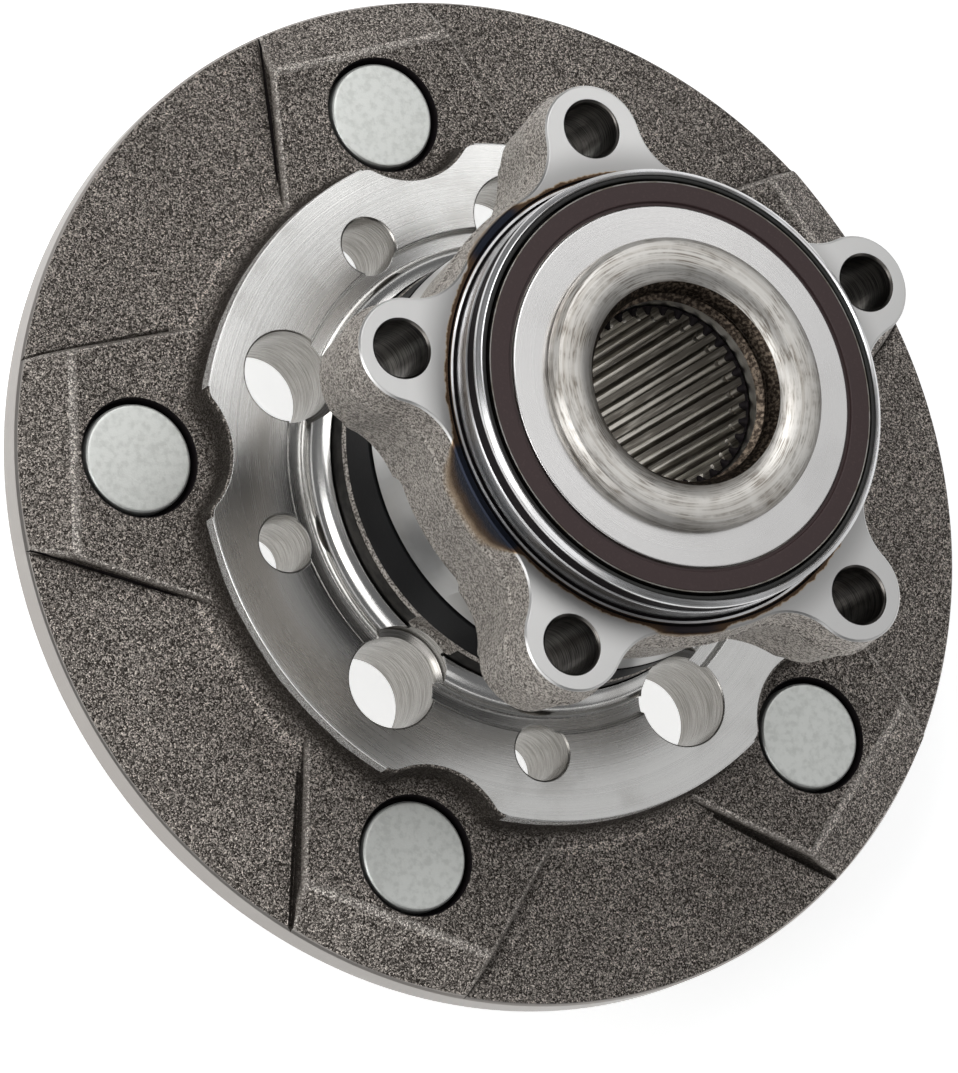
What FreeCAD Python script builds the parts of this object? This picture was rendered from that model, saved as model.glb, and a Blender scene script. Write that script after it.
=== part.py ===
import FreeCAD, Part

import math
import os

import Sketcher
from FreeCAD import Placement, Rotation, Vector

# Hub bearing unit of a driven front wheel, for a van.
# The origin is the centre of the face that the wheel seats on, and +Z runs along the spin axis, inboard.
# Lengths are millimetres and angles are degrees.

SIZES = {
    # flange of the hub, outwards from the bearing's ring
    "rim_margin": 24.0,
    "rim_thickness": 6.5,
    "rim_chamfer": 0.6,
    "forging_height": 9.4,
    "seat_height": 18.9,
    "seat_inset": 10.2,
    "seat_chamfer": 0.5,
    "seat_root": 2.4,
    "ridge_groove_depth": 1.4,
    "ridge_groove_width": 2.8,
    "ridge_gap": 0.7,
    "ridge_width": 3.6,
    "ridge_rise": 4.2,
    "ridge_bow": 5.5,
    "shoulder_overhang": 0.3,
    "lip_step": 0.3,
    "shoulder_height": 28.9,
    "shoulder_chamfer": 0.8,
    "pocket_diameter": 19.0,
    "pocket_offset": 7.6,
    # stud pads and what sits in them
    "stud_count": 5,
    "stud_circle": 160.0,
    "hub_turn": 5.53,
    "pad_height": 11.1,
    "pad_chord_offset": 13.5,
    "pad_inner_width": 56.0,
    "pad_inner_offset": 14.0,
    "pad_rim_width": 37.0,
    "scallop_diameter": 32.0,
    "scallop_horn": 3.5,
    "head_clearance": 0.95,
    "counterbore_depth": 4.2,
    "head_step": 0.35,
    "stud_head_diameter": 22.0,
    "stud_head_chamfer": 0.6,
    "stud_thread_diameter": 14.0,
    "knurl_rise": 0.35,
    "stud_neck_drop": 1.0,
    "stud_reach": 32.0,
    "stud_tip": 3.0,
    # holes through the flange
    "disc_screw_offset": 3.75,
    "disc_screw_hole": 11.5,
    "disc_screw_lead": 18.0,
    "access_hole": 18.3,
    "access_lead": 54.0,
    "through_margin": 1.0,
    # pilot, nut pocket, spline and rolled collar of the hub
    "pilot_wall": 7.5,
    "pilot_height": 14.0,
    "pilot_chamfer": 1.5,
    "nut_seat_width": 7.2,
    "nut_seat_height": 6.0,
    "stem_wall": 6.7,
    "spline_teeth": 33,
    "tooth_depth": 1.5,
    "spline_depth": 10.8,
    "clip_groove_setback": 4.5,
    "clip_groove_width": 1.2,
    "clip_groove_depth": 0.9,
    "tooth_space_mouth": 0.84,
    "tooth_space_root": 0.24,
    "land_length": 2.8,
    "land_clearance": 0.15,
    "undercut_length": 3.6,
    "undercut_depth": 1.6,
    "throat_clearance": 0.6,
    "collar_flare": 3.1,
    "collar_grip": 4.15,
    "collar_height": 3.55,
    "collar_round": 1.6,
    # rolling elements and raceways
    "ball_diameter": 11.9,
    "balls_per_row": 14,
    "pitch_diameter": 69.2,
    "row_offset": 17.1,
    "row_spacing": 24.0,
    "race_clearance": 0.15,
    "inner_shoulder_drop": 1.8,
    "inner_low_drop": 5.0,
    "outer_shoulder_rise": 2.3,
    "outer_low_rise": 4.6,
    "inner_ring_wall": 5.1,
    "inner_ring_lead": 15.5,
    "inner_ring_tail": 15.75,
    "inner_ring_chamfer": 0.4,
    "slinger_land_rise": 2.6,
    "slinger_land_width": 6.3,
    "cage_inner_gap": 0.6,
    "cage_outer_gap": 1.1,
    "cage_width": 14.0,
    "cage_clearance": 0.15,
    # outer ring
    "end_gap": 1.1,
    "ring_overhang": 0.1,
    "ring_wall": 9.7,
    "ring_chamfer": 0.6,
    "nose_step": 1.5,
    "nose_length": 10.4,
    "spigot_step": 1.3,
    "spigot_height": 9.25,
    "spigot_groove_depth": 0.4,
    "spigot_groove_width": 2.6,
    "spigot_groove_setback": 1.9,
    "relief_depth": 0.8,
    "relief_width": 0.7,
    "relief_bead": 0.9,
    "ear_count": 5,
    "ear_angle": 90.0,
    "ear_bolt_offset": 9.7,
    "ear_hole": 11.0,
    "ear_hole_chamfer": 0.46,
    "ear_tip_inset": 1.4,
    "ear_radius": 10.7,
    "ear_blend": 12.0,
    "valley_rise": 2.2,
    "ear_edge_depth": 7.6,
    "ear_thickness": 29.6,
    "ear_underside_angle": 27.5,
    "face_draft": 4.0,
    "side_draft": 6.5,
    "spot_face_diameter": 17.4,
    "ear_grip": 22.1,
    # seals
    "seal_gap": 0.3,
    "outboard_seal_rise": 1.0,
    "outboard_seal_depth": 7.6,
    "inboard_seal_rise": 2.4,
    "inboard_seal_depth": 7.65,
    "case_wall": 0.6,
    "lip_wall": 0.8,
    "radial_lip_length": 2.0,
    "axial_lip_spread": 2.4,
    "axial_lip_width": 0.64,
    "cover_length": 7.7,
    "cover_wall": 1.6,
    "slinger_wall": 0.7,
    "slinger_clearance": 1.35,
    "encoder_thickness": 0.85,
    "encoder_inset": 0.95,
}

SHEET = "Sizes"


class Size:
    """A length or an angle together with the sheet expression that drives it."""

    def __init__(self, value, text):
        self.value = float(value)
        self.text = text

    def __add__(self, other):
        return combined(self, "+", other, lambda a, b: a + b)

    def __radd__(self, other):
        return combined(other, "+", self, lambda a, b: a + b)

    def __sub__(self, other):
        return combined(self, "-", other, lambda a, b: a - b)

    def __rsub__(self, other):
        return combined(other, "-", self, lambda a, b: a - b)

    def __mul__(self, other):
        return combined(self, "*", other, lambda a, b: a * b)

    def __rmul__(self, other):
        return combined(other, "*", self, lambda a, b: a * b)

    def __truediv__(self, other):
        return combined(self, "/", other, lambda a, b: a / b)

    def __rtruediv__(self, other):
        return combined(other, "/", self, lambda a, b: a / b)

    def __neg__(self):
        return combined(-1, "*", self, lambda a, b: a * b)


def plain(number):
    """A bare number as a Size, or a Size as it is."""
    return number if isinstance(number, Size) else Size(number, repr(number))


def combined(first, sign, second, rule):
    """Two sizes joined by an arithmetic sign."""
    a, b = plain(first), plain(second)
    return Size(rule(a.value, b.value), f"({a.text} {sign} {b.text})")


def cosine(angle):
    angle = plain(angle)
    return Size(math.cos(math.radians(angle.value)), f"cos({angle.text} * 1deg)")


def sine(angle):
    angle = plain(angle)
    return Size(math.sin(math.radians(angle.value)), f"sin({angle.text} * 1deg)")


def tangent(angle):
    angle = plain(angle)
    return Size(math.tan(math.radians(angle.value)), f"tan({angle.text} * 1deg)")


def arc_cosine(ratio):
    return Size(math.degrees(math.acos(ratio.value)), f"(acos({ratio.text}) / 1deg)")


def arc_sine(ratio):
    return Size(math.degrees(math.asin(ratio.value)), f"(asin({ratio.text}) / 1deg)")


def arc_tangent(ratio):
    return Size(math.degrees(math.atan(ratio.value)), f"(atan({ratio.text}) / 1deg)")


def hypotenuse(first, second):
    square = first * first + second * second
    return Size(math.sqrt(square.value), f"sqrt({square.text})")


def polar(radius, angle):
    """The corner at a radius and an angle, as x and y."""
    return radius * cosine(angle), radius * sine(angle)


document = FreeCAD.newDocument("wheel_hub_bearing")
sheet = document.addObject("Spreadsheet::Sheet", SHEET)
for row, (alias, number) in enumerate(SIZES.items(), start=1):
    sheet.set(f"A{row}", alias)
    sheet.set(f"B{row}", str(number))
    sheet.setAlias(f"B{row}", alias)
document.recompute()


def size(alias):
    """One driving dimension, read back from the sheet."""
    return Size(sheet.get(alias), f"{SHEET}.{alias}")


def half(alias):
    return size(alias) / 2


# heights along the axis that several pieces share
SEAT_Z = size("seat_height")
SHOULDER_Z = size("shoulder_height")
RING_START_Z = SHOULDER_Z + size("end_gap")
OUTBOARD_ROW_Z = SHOULDER_Z + size("row_offset")
INBOARD_ROW_Z = OUTBOARD_ROW_Z + size("row_spacing")
INNER_START_Z = INBOARD_ROW_Z - size("inner_ring_lead")
INNER_END_Z = INBOARD_ROW_Z + size("inner_ring_tail")
RING_END_Z = INNER_END_Z + size("ring_overhang")
EAR_FACE_Z = RING_END_Z - size("spigot_height")
EAR_EDGE_Z = EAR_FACE_Z - size("ear_edge_depth")
EAR_UNDERSIDE_Z = EAR_FACE_Z - size("ear_thickness")
COLLAR_TOP_Z = INNER_END_Z + size("collar_height")
SPLINE_END_Z = COLLAR_TOP_Z - size("spline_depth")
STUD_SEAT_Z = size("pad_height") - size("counterbore_depth")
SLINGER_Z = INNER_END_Z - size("encoder_thickness")

# angles of what repeats round the axis
EAR_ANGLE = size("ear_angle")
STUD_ANGLE = EAR_ANGLE + size("hub_turn")
DISC_SCREW_ANGLE = STUD_ANGLE + size("disc_screw_lead")
ACCESS_ANGLE = STUD_ANGLE + size("access_lead")

# radii that several pieces share
BALL_PATH = half("pitch_diameter")
RACE_RADIUS = half("ball_diameter") + size("race_clearance")
INNER_SHOULDER = BALL_PATH - size("inner_shoulder_drop")
INNER_LOW = BALL_PATH - size("inner_low_drop")
OUTER_SHOULDER = BALL_PATH + size("outer_shoulder_rise")
OUTER_LOW = BALL_PATH + size("outer_low_rise")
OUTBOARD_SEAL = OUTER_LOW + size("outboard_seal_rise")
INBOARD_SEAL = OUTER_LOW + size("inboard_seal_rise")
RING = BALL_PATH + size("ring_wall")
NOSE = RING - size("nose_step")
SPIGOT = RING - size("spigot_step")
EAR_BOLT_CIRCLE = RING + size("ear_bolt_offset")
EAR_CIRCLE = EAR_BOLT_CIRCLE - size("ear_tip_inset")
STEM = INNER_LOW - size("inner_ring_wall")
SLINGER_LAND = INNER_SHOULDER + size("slinger_land_rise")
SLINGER = INBOARD_SEAL - size("slinger_clearance")
SHOULDER = RING + size("shoulder_overhang")
RIDGE_LIP = SHOULDER + size("lip_step")
RIDGE_FOOT = RIDGE_LIP + size("ridge_width")
SEAT_GROOVE = RIDGE_FOOT + size("ridge_gap")
SEAT_BORE = SEAT_GROOVE + size("ridge_groove_width")
STUD_CIRCLE = half("stud_circle")
SEAT = STUD_CIRCLE - size("seat_inset")
RIM = STUD_CIRCLE + size("rim_margin")
KNURL = half("stud_thread_diameter") + size("knurl_rise")
MARGIN = size("through_margin")


def new_body(label):
    body = document.addObject("PartDesign::Body", label)
    body.Label = label
    return body


def origin_element(body, role):
    return next(item for item in body.Origin.OriginFeatures if item.Role == role)


def new_sketch(body, name, role, height=None):
    """A sketch on one of the body's own origin planes, lifted along the plane's normal where asked."""
    sketch = body.newObject("Sketcher::SketchObject", name)
    sketch.AttachmentSupport = [(origin_element(body, role), "")]
    sketch.MapMode = "FlatFace"
    if height is not None:
        height = plain(height)
        sketch.AttachmentOffset = Placement(Vector(0, 0, height.value), Rotation())
        sketch.setExpression("AttachmentOffset.Base.z", height.text)
    return sketch


def arc_between(start, end, radius, side):
    """The short arc from start to end whose centre lies left (side 1) or right (side -1) of the way."""
    chord = end - start
    middle = (start + end) * 0.5
    rise = math.sqrt(max(radius ** 2 - (chord.Length / 2) ** 2, 0.0))
    centre = middle + Vector(-chord.y, chord.x, 0).normalize() * (rise * side)
    first, last = (start, end) if side > 0 else (end, start)
    from_angle = math.atan2(first.y - centre.y, first.x - centre.x)
    to_angle = math.atan2(last.y - centre.y, last.x - centre.x)
    circle = Part.Circle(centre, Vector(0, 0, 1), radius)
    return Part.ArcOfCircle(circle, from_angle, to_angle)


def draw_outline(sketch, corners):
    """A closed outline. A corner is (x, y), or (x, y, radius, side) where an arc leads up to it."""
    places = [tuple(plain(part) for part in corner[:2]) for corner in corners]
    points = [Vector(x.value, y.value, 0) for x, y in places]
    curves = []
    ends = []
    radii = []
    for index, corner in enumerate(corners):
        start, end = points[index - 1], points[index]
        if len(corner) == 2:
            curves.append(Part.LineSegment(start, end))
            ends.append((1, 2))
            continue
        radius, side = plain(corner[2]), corner[3]
        curves.append(arc_between(start, end, radius.value, side))
        ends.append((1, 2) if side > 0 else (2, 1))
        radii.append((index, radius))
    first = sketch.addGeometry(curves, False)[0]
    constraints = []
    expressions = []
    for index, (x, y) in enumerate(places):
        curve, end = first + index, ends[index][1]
        following = (index + 1) % len(corners)
        constraints.append(
            Sketcher.Constraint("Coincident", curve, end, first + following, ends[following][0])
        )
        for kind, coordinate in (("DistanceX", x), ("DistanceY", y)):
            expressions.append((len(constraints), coordinate.text))
            constraints.append(Sketcher.Constraint(kind, curve, end, coordinate.value))
    for index, radius in radii:
        expressions.append((len(constraints), radius.text))
        constraints.append(Sketcher.Constraint("Radius", first + index, radius.value))
    base = sketch.ConstraintCount
    sketch.addConstraint(constraints)
    for index, text in expressions:
        sketch.setExpression(f"Constraints[{base + index}]", text)


def draw_circle(sketch, x, y, radius):
    x, y, radius = plain(x), plain(y), plain(radius)
    circle = Part.Circle(Vector(x.value, y.value, 0), Vector(0, 0, 1), radius.value)
    index = sketch.addGeometry(circle, False)
    base = sketch.ConstraintCount
    sketch.addConstraint(
        [
            Sketcher.Constraint("DistanceX", index, 3, x.value),
            Sketcher.Constraint("DistanceY", index, 3, y.value),
            Sketcher.Constraint("Radius", index, radius.value),
        ]
    )
    for offset, part in enumerate((x, y, radius)):
        sketch.setExpression(f"Constraints[{base + offset}]", part.text)


def turned(body, kind, name, corners):
    """A turned feature: a closed outline of (radius, height) corners, spun about the axis."""
    sketch = new_sketch(body, f"{name}_profile", "XZ_Plane")
    draw_outline(sketch, corners)
    feature = body.newObject(f"PartDesign::{kind}", name)
    feature.Profile = sketch
    feature.ReferenceAxis = (sketch, ["V_Axis"])
    feature.Angle = 360
    return feature


def ring_groove(body, name, radius, height, section_radius):
    """A round-bottomed groove that runs about the axis, such as a raceway."""
    sketch = new_sketch(body, f"{name}_profile", "XZ_Plane")
    draw_circle(sketch, radius, height, section_radius)
    feature = body.newObject("PartDesign::Groove", name)
    feature.Profile = sketch
    feature.ReferenceAxis = (sketch, ["V_Axis"])
    feature.Angle = 360
    return feature


def bind(feature, name, amount):
    amount = plain(amount)
    setattr(feature, name, amount.value)
    feature.setExpression(name, amount.text)


def drilled(body, name, circle_radius, angle, radius, top, depth):
    """A round pocket cut outboard from the height top."""
    sketch = new_sketch(body, f"{name}_profile", "XY_Plane", top)
    draw_circle(sketch, *polar(circle_radius, angle), radius)
    feature = body.newObject("PartDesign::Pocket", name)
    feature.Profile = sketch
    bind(feature, "Length", depth)
    return feature


def edge_cone(body, name, circle_radius, angle, radius, chamfer, top):
    """The chamfer at the inboard mouth of a drilled hole."""
    cone = body.newObject("PartDesign::SubtractiveCone", name)
    cone.AttachmentSupport = [(origin_element(body, "XY_Plane"), "")]
    cone.MapMode = "FlatFace"
    x, y = polar(circle_radius, angle)
    base = top - chamfer
    cone.AttachmentOffset = Placement(Vector(x.value, y.value, base.value), Rotation())
    for axis, part in zip("xyz", (x, y, base)):
        cone.setExpression(f"AttachmentOffset.Base.{axis}", part.text)
    bind(cone, "Radius1", radius)
    bind(cone, "Radius2", radius + chamfer)
    bind(cone, "Height", chamfer)
    return cone


def repeated(body, name, originals, count):
    """Copies of the features, evenly spaced about the axis."""
    pattern = body.newObject("PartDesign::PolarPattern", name)
    pattern.Originals = originals
    pattern.Axis = (origin_element(body, "Z_Axis"), [""])
    pattern.Angle = 360
    bind_count(pattern, count)
    body.Tip = pattern
    return pattern


def bind_count(pattern, count):
    pattern.Occurrences = int(count.value)
    pattern.setExpression("Occurrences", count.text)


def make_hub():
    """Forged hub: flange with stud pads, turned disc seat, stem, spline and rolled collar."""
    body = new_body("hub")
    chamfer = size("rim_chamfer")
    edge = size("seat_chamfer")
    root = size("seat_root")
    forged = size("forging_height")
    floor = SEAT_Z - size("ridge_groove_depth")
    ridge_top = SEAT_Z + size("ridge_rise")
    ease = size("shoulder_chamfer")
    collar = STEM + size("collar_grip")
    round_edge = size("collar_round")
    pilot = STEM - size("stem_wall") + size("nut_seat_width") + size("pilot_wall")
    pilot_end = -size("pilot_height")
    pilot_edge = size("pilot_chamfer")
    turned(body, "Revolution", "forging", [
        (0, pilot_end),
        (pilot - pilot_edge, pilot_end),
        (pilot, pilot_end + pilot_edge),
        (pilot, 0),
        (RIM - chamfer, 0),
        (RIM, chamfer),
        (RIM, size("rim_thickness")),
        (SEAT + root, forged),
        (SEAT, forged + root, root, -1),
        (SEAT, SEAT_Z - edge),
        (SEAT - edge, SEAT_Z),
        (SEAT_BORE + edge, SEAT_Z),
        (SEAT_BORE, SEAT_Z - edge),
        (SEAT_GROOVE, floor),
        (RIDGE_FOOT, floor),
        (RIDGE_LIP, ridge_top, size("ridge_bow"), 1),
        (RIDGE_LIP, ridge_top - ease),
        (SHOULDER, ridge_top - ease),
        (SHOULDER, SHOULDER_Z - ease),
        (SHOULDER - ease, SHOULDER_Z),
        (INNER_SHOULDER, SHOULDER_Z),
        (INNER_SHOULDER, OUTBOARD_ROW_Z),
        (INNER_LOW, OUTBOARD_ROW_Z),
        (INNER_LOW, INNER_START_Z),
        (STEM, INNER_START_Z),
        (STEM, INNER_END_Z),
        (collar - ease, INNER_END_Z),
        (collar, INNER_END_Z + ease),
        (collar, COLLAR_TOP_Z - round_edge),
        (collar - round_edge, COLLAR_TOP_Z, round_edge, 1),
        (0, COLLAR_TOP_Z),
    ])
    ring_groove(body, "outboard_raceway", BALL_PATH, OUTBOARD_ROW_Z, RACE_RADIUS)
    add_stud_pads(body)
    cut_flange_holes(body)
    cut_hub_bore(body)
    return body


def add_stud_pads(body):
    """Raised pads round the studs, each sloping down to the rim beyond its chord."""
    top = size("pad_height")
    inner = STUD_CIRCLE - size("pad_inner_offset")
    inner_half = half("pad_inner_width")
    rim_corner = arc_sine(half("pad_rim_width") / RIM)
    start_z = size("rim_thickness") / 2
    sketch = new_sketch(body, "stud_pad_profile", "XY_Plane", start_z)
    inner_angle = arc_tangent(inner_half / inner)
    inner_radius = hypotenuse(inner, inner_half)
    draw_outline(sketch, [
        polar(inner_radius, STUD_ANGLE + inner_angle),
        polar(inner_radius, STUD_ANGLE - inner_angle),
        polar(RIM, STUD_ANGLE - rim_corner),
        (*polar(RIM, STUD_ANGLE + rim_corner), RIM, 1),
    ])
    pad = body.newObject("PartDesign::Pad", "stud_pad")
    pad.Profile = sketch
    bind(pad, "Length", top - start_z)
    slope = cut_pad_slope(body)
    repeated(body, "stud_pads", [pad, slope], size("stud_count"))
    scallop = cut_scallop(body)
    counterbore = drilled(
        body, "counterbore", STUD_CIRCLE, STUD_ANGLE,
        half("stud_head_diameter") + size("head_clearance"), top, size("counterbore_depth"),
    )
    hole = drilled(
        body, "stud_hole", STUD_CIRCLE, STUD_ANGLE, KNURL, STUD_SEAT_Z, STUD_SEAT_Z + MARGIN
    )
    repeated(body, "stud_seats", [scallop, counterbore, hole], size("stud_count"))


def cut_scallop(body):
    """The hollow that clears a stud head in the wall of the disc seat, with rounded horns."""
    hollow = half("scallop_diameter")
    horn = size("scallop_horn")
    inside = SEAT - horn
    reach = hollow + horn
    squares = inside * inside + STUD_CIRCLE * STUD_CIRCLE - reach * reach
    lead = arc_cosine(squares / (2 * inside * STUD_CIRCLE))
    touch_x = STUD_CIRCLE + (inside * cosine(lead) - STUD_CIRCLE) * hollow / reach
    touch_y = inside * sine(lead) * hollow / reach
    touch = hypotenuse(touch_x, touch_y)
    touch_angle = arc_tangent(touch_y / touch_x)
    sketch = new_sketch(body, "scallop_profile", "XY_Plane", SEAT_Z)
    draw_outline(sketch, [
        polar(SEAT, STUD_ANGLE + lead),
        (*polar(touch, STUD_ANGLE + touch_angle), horn, 1),
        (*polar(STUD_CIRCLE - hollow, STUD_ANGLE), hollow, -1),
        (*polar(touch, STUD_ANGLE - touch_angle), hollow, -1),
        (*polar(SEAT, STUD_ANGLE - lead), horn, 1),
        polar(STUD_CIRCLE, STUD_ANGLE - lead),
        polar(STUD_CIRCLE, STUD_ANGLE + lead),
    ])
    scallop = body.newObject("PartDesign::Pocket", "scallop")
    scallop.Profile = sketch
    bind(scallop, "Length", SEAT_Z - size("pad_height"))
    return scallop


def cut_pad_slope(body):
    """The sloping cut from a pad's chord down to the rim."""
    chord = STUD_CIRCLE + size("pad_chord_offset")
    top = size("pad_height")
    run = RIM - chord + MARGIN
    drop = (top - size("rim_thickness")) * run / (RIM - chord)
    sketch = new_sketch(body, "pad_slope_profile", "XZ_Plane")
    sketch.AttachmentOffset = Placement(Vector(0, 0, 0), Rotation(Vector(0, 1, 0), STUD_ANGLE.value))
    sketch.setExpression("AttachmentOffset.Rotation.Angle", f"{STUD_ANGLE.text} * 1deg")
    draw_outline(sketch, [
        (chord, top),
        (chord + run, top - drop),
        (chord + run, top + MARGIN),
        (chord, top + MARGIN),
    ])
    pocket = body.newObject("PartDesign::Pocket", "pad_slope")
    pocket.Profile = sketch
    pocket.Midplane = True
    bind(pocket, "Length", size("pad_inner_width"))
    return pocket


def cut_flange_holes(body):
    """Disc screw holes, and the larger holes that let a socket reach the bolts of the ears."""
    count = size("stud_count")
    chamfer = size("ear_hole_chamfer")
    depth = SEAT_Z + MARGIN
    screw_circle = SEAT_BORE + size("disc_screw_offset")
    screw_radius = half("disc_screw_hole")
    screw = drilled(body, "disc_screw_hole", screw_circle, DISC_SCREW_ANGLE, screw_radius, SEAT_Z, depth)
    repeated(body, "disc_screw_holes", [screw], count)
    mouth = edge_cone(
        body, "disc_screw_mouth", screw_circle, DISC_SCREW_ANGLE, screw_radius, chamfer, SEAT_Z
    )
    repeated(body, "disc_screw_mouths", [mouth], count)
    above = SEAT_Z + size("ridge_rise")
    access = drilled(
        body, "access_hole", EAR_BOLT_CIRCLE, ACCESS_ANGLE, half("access_hole"),
        above, above + MARGIN,
    )
    pocket = drilled(
        body, "tool_pocket", SHOULDER + size("pocket_offset"), ACCESS_ANGLE,
        half("pocket_diameter"), SHOULDER_Z, SHOULDER_Z - above,
    )
    repeated(body, "access_holes", [access, pocket], count)


def cut_hub_bore(body):
    """Nut pocket, spline, and the throat inside the rolled collar."""
    root = STEM - size("stem_wall")
    depth = size("tooth_depth")
    tip = root - depth
    pilot_end = -size("pilot_height")
    pocket = root + size("nut_seat_width")
    nut_seat = size("nut_seat_height")
    land = root + size("land_clearance")
    land_end = SPLINE_END_Z + size("land_length")
    undercut = root + size("undercut_depth")
    undercut_end = land_end + size("undercut_length")
    ease = size("shoulder_chamfer")
    throat = root + size("throat_clearance")
    opening = root + size("collar_flare")
    turned(body, "Groove", "bore", [
        (0, pilot_end),
        (pocket + ease, pilot_end),
        (pocket, pilot_end + ease),
        (pocket, nut_seat),
        (root, nut_seat),
        (tip, nut_seat + depth),
        (tip, SPLINE_END_Z),
        (land, SPLINE_END_Z),
        (land, land_end),
        (undercut, land_end + (undercut - land)),
        (undercut, undercut_end - (undercut - throat)),
        (throat, undercut_end),
        (opening, COLLAR_TOP_Z - ease / 4),
        (opening + ease / 2, COLLAR_TOP_Z),
        (0, COLLAR_TOP_Z),
    ])
    cut_spline(body, tip, root)
    clip_z = SPLINE_END_Z - size("clip_groove_setback")
    clip = tip + size("clip_groove_depth")
    turned(body, "Groove", "clip_groove", [
        (tip - depth, clip_z),
        (clip, clip_z),
        (clip, clip_z + size("clip_groove_width")),
        (tip - depth, clip_z + size("clip_groove_width")),
    ])


def cut_spline(body, tip, root):
    """One tooth space of the internal spline, repeated round the bore."""
    teeth = size("spline_teeth")
    pitch = 360 / teeth
    inside = tip - (root - tip)
    mouth = pitch * size("tooth_space_mouth") / 2
    floor = pitch * size("tooth_space_root") / 2
    sketch = new_sketch(body, "tooth_space_profile", "XY_Plane", SPLINE_END_Z)
    draw_outline(sketch, [
        polar(inside, -mouth),
        polar(root, -floor),
        polar(root, floor),
        polar(inside, mouth),
    ])
    space = body.newObject("PartDesign::Pocket", "tooth_space")
    space.Profile = sketch
    bind(space, "Length", SPLINE_END_Z - size("nut_seat_height"))
    repeated(body, "spline", [space], teeth)


def ear_outline():
    """The lobed outline of the ears: tip arcs, hollow blends and the valleys between them."""
    distance = EAR_CIRCLE
    ear = size("ear_radius")
    blend = size("ear_blend")
    valley = RING + size("valley_rise")
    count = size("ear_count")
    far = valley + blend
    near = ear + blend
    lead = arc_cosine((far * far + distance * distance - near * near) / (2 * far * distance))
    corners = []
    for index in range(int(count.value)):
        angle = EAR_ANGLE + 360 / count * index
        side_x, side_y = far * cosine(lead) - distance, far * sine(lead)
        touch_x = distance + side_x * ear / near
        touch_y = side_y * ear / near
        touch = hypotenuse(touch_x, touch_y)
        touch_angle = arc_tangent(touch_y / touch_x)
        corners += [
            (*polar(valley, angle - lead), valley, 1),
            (*polar(touch, angle - touch_angle), blend, -1),
            (*polar(distance + ear, angle), ear, 1),
            (*polar(touch, angle + touch_angle), ear, 1),
            (*polar(valley, angle + lead), blend, -1),
        ]
    return corners


def make_outer_ring():
    """Forged outer ring: drafted ears with a parting edge, then the turned ring, bore and spigot."""
    body = new_body("outer_ring")
    outline = ear_outline()
    sketch = new_sketch(body, "ears_profile", "XY_Plane", EAR_EDGE_Z)
    draw_outline(sketch, outline)
    upper = body.newObject("PartDesign::Pad", "ears_above_edge")
    upper.Profile = sketch
    bind(upper, "Length", EAR_FACE_Z - EAR_EDGE_Z)
    bind(upper, "TaperAngle", -size("face_draft"))
    sketch = new_sketch(body, "ears_lower_profile", "XY_Plane", EAR_EDGE_Z)
    draw_outline(sketch, outline)
    lower = body.newObject("PartDesign::Pad", "ears_below_edge")
    lower.Profile = sketch
    lower.Reversed = True
    bind(lower, "Length", EAR_EDGE_Z - EAR_UNDERSIDE_Z)
    bind(lower, "TaperAngle", -size("side_draft"))
    reach = EAR_CIRCLE + size("ear_radius") + MARGIN
    slope_end = EAR_UNDERSIDE_Z + (reach - RING) * tangent(size("ear_underside_angle"))
    turned(body, "Groove", "ear_undersides", [
        (RING, EAR_UNDERSIDE_Z),
        (RING, EAR_UNDERSIDE_Z - MARGIN),
        (reach, EAR_UNDERSIDE_Z - MARGIN),
        (reach, slope_end),
    ])
    nose_end = RING_START_Z + size("nose_length")
    edge = size("ring_chamfer")
    groove = SPIGOT - size("spigot_groove_depth")
    groove_top = RING_END_Z - size("spigot_groove_setback")
    groove_base = groove_top - size("spigot_groove_width")
    slant = size("spigot_groove_depth")
    relief = size("relief_width")
    turned(body, "Revolution", "ring", [
        (0, RING_START_Z),
        (NOSE - edge / 2, RING_START_Z),
        (NOSE, RING_START_Z + edge / 2),
        (NOSE, nose_end),
        (RING - edge, nose_end),
        (RING, nose_end + edge),
        (RING, EAR_FACE_Z),
        (SPIGOT - edge, EAR_FACE_Z),
        (SPIGOT - edge, EAR_FACE_Z + relief),
        (SPIGOT, EAR_FACE_Z + relief + edge / 2),
        (SPIGOT, groove_base - slant),
        (groove, groove_base),
        (groove, groove_top),
        (SPIGOT, groove_top + slant),
        (SPIGOT, RING_END_Z - edge),
        (SPIGOT - edge, RING_END_Z),
        (0, RING_END_Z),
    ])
    bead = SPIGOT + size("relief_bead")
    turned(body, "Groove", "face_relief", [
        (bead, EAR_FACE_Z - size("relief_depth")),
        (bead + relief, EAR_FACE_Z - size("relief_depth")),
        (bead + relief, EAR_FACE_Z + MARGIN),
        (bead, EAR_FACE_Z + MARGIN),
    ])
    cut_ring_bore(body)
    cut_ear_holes(body)
    return body


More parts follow.
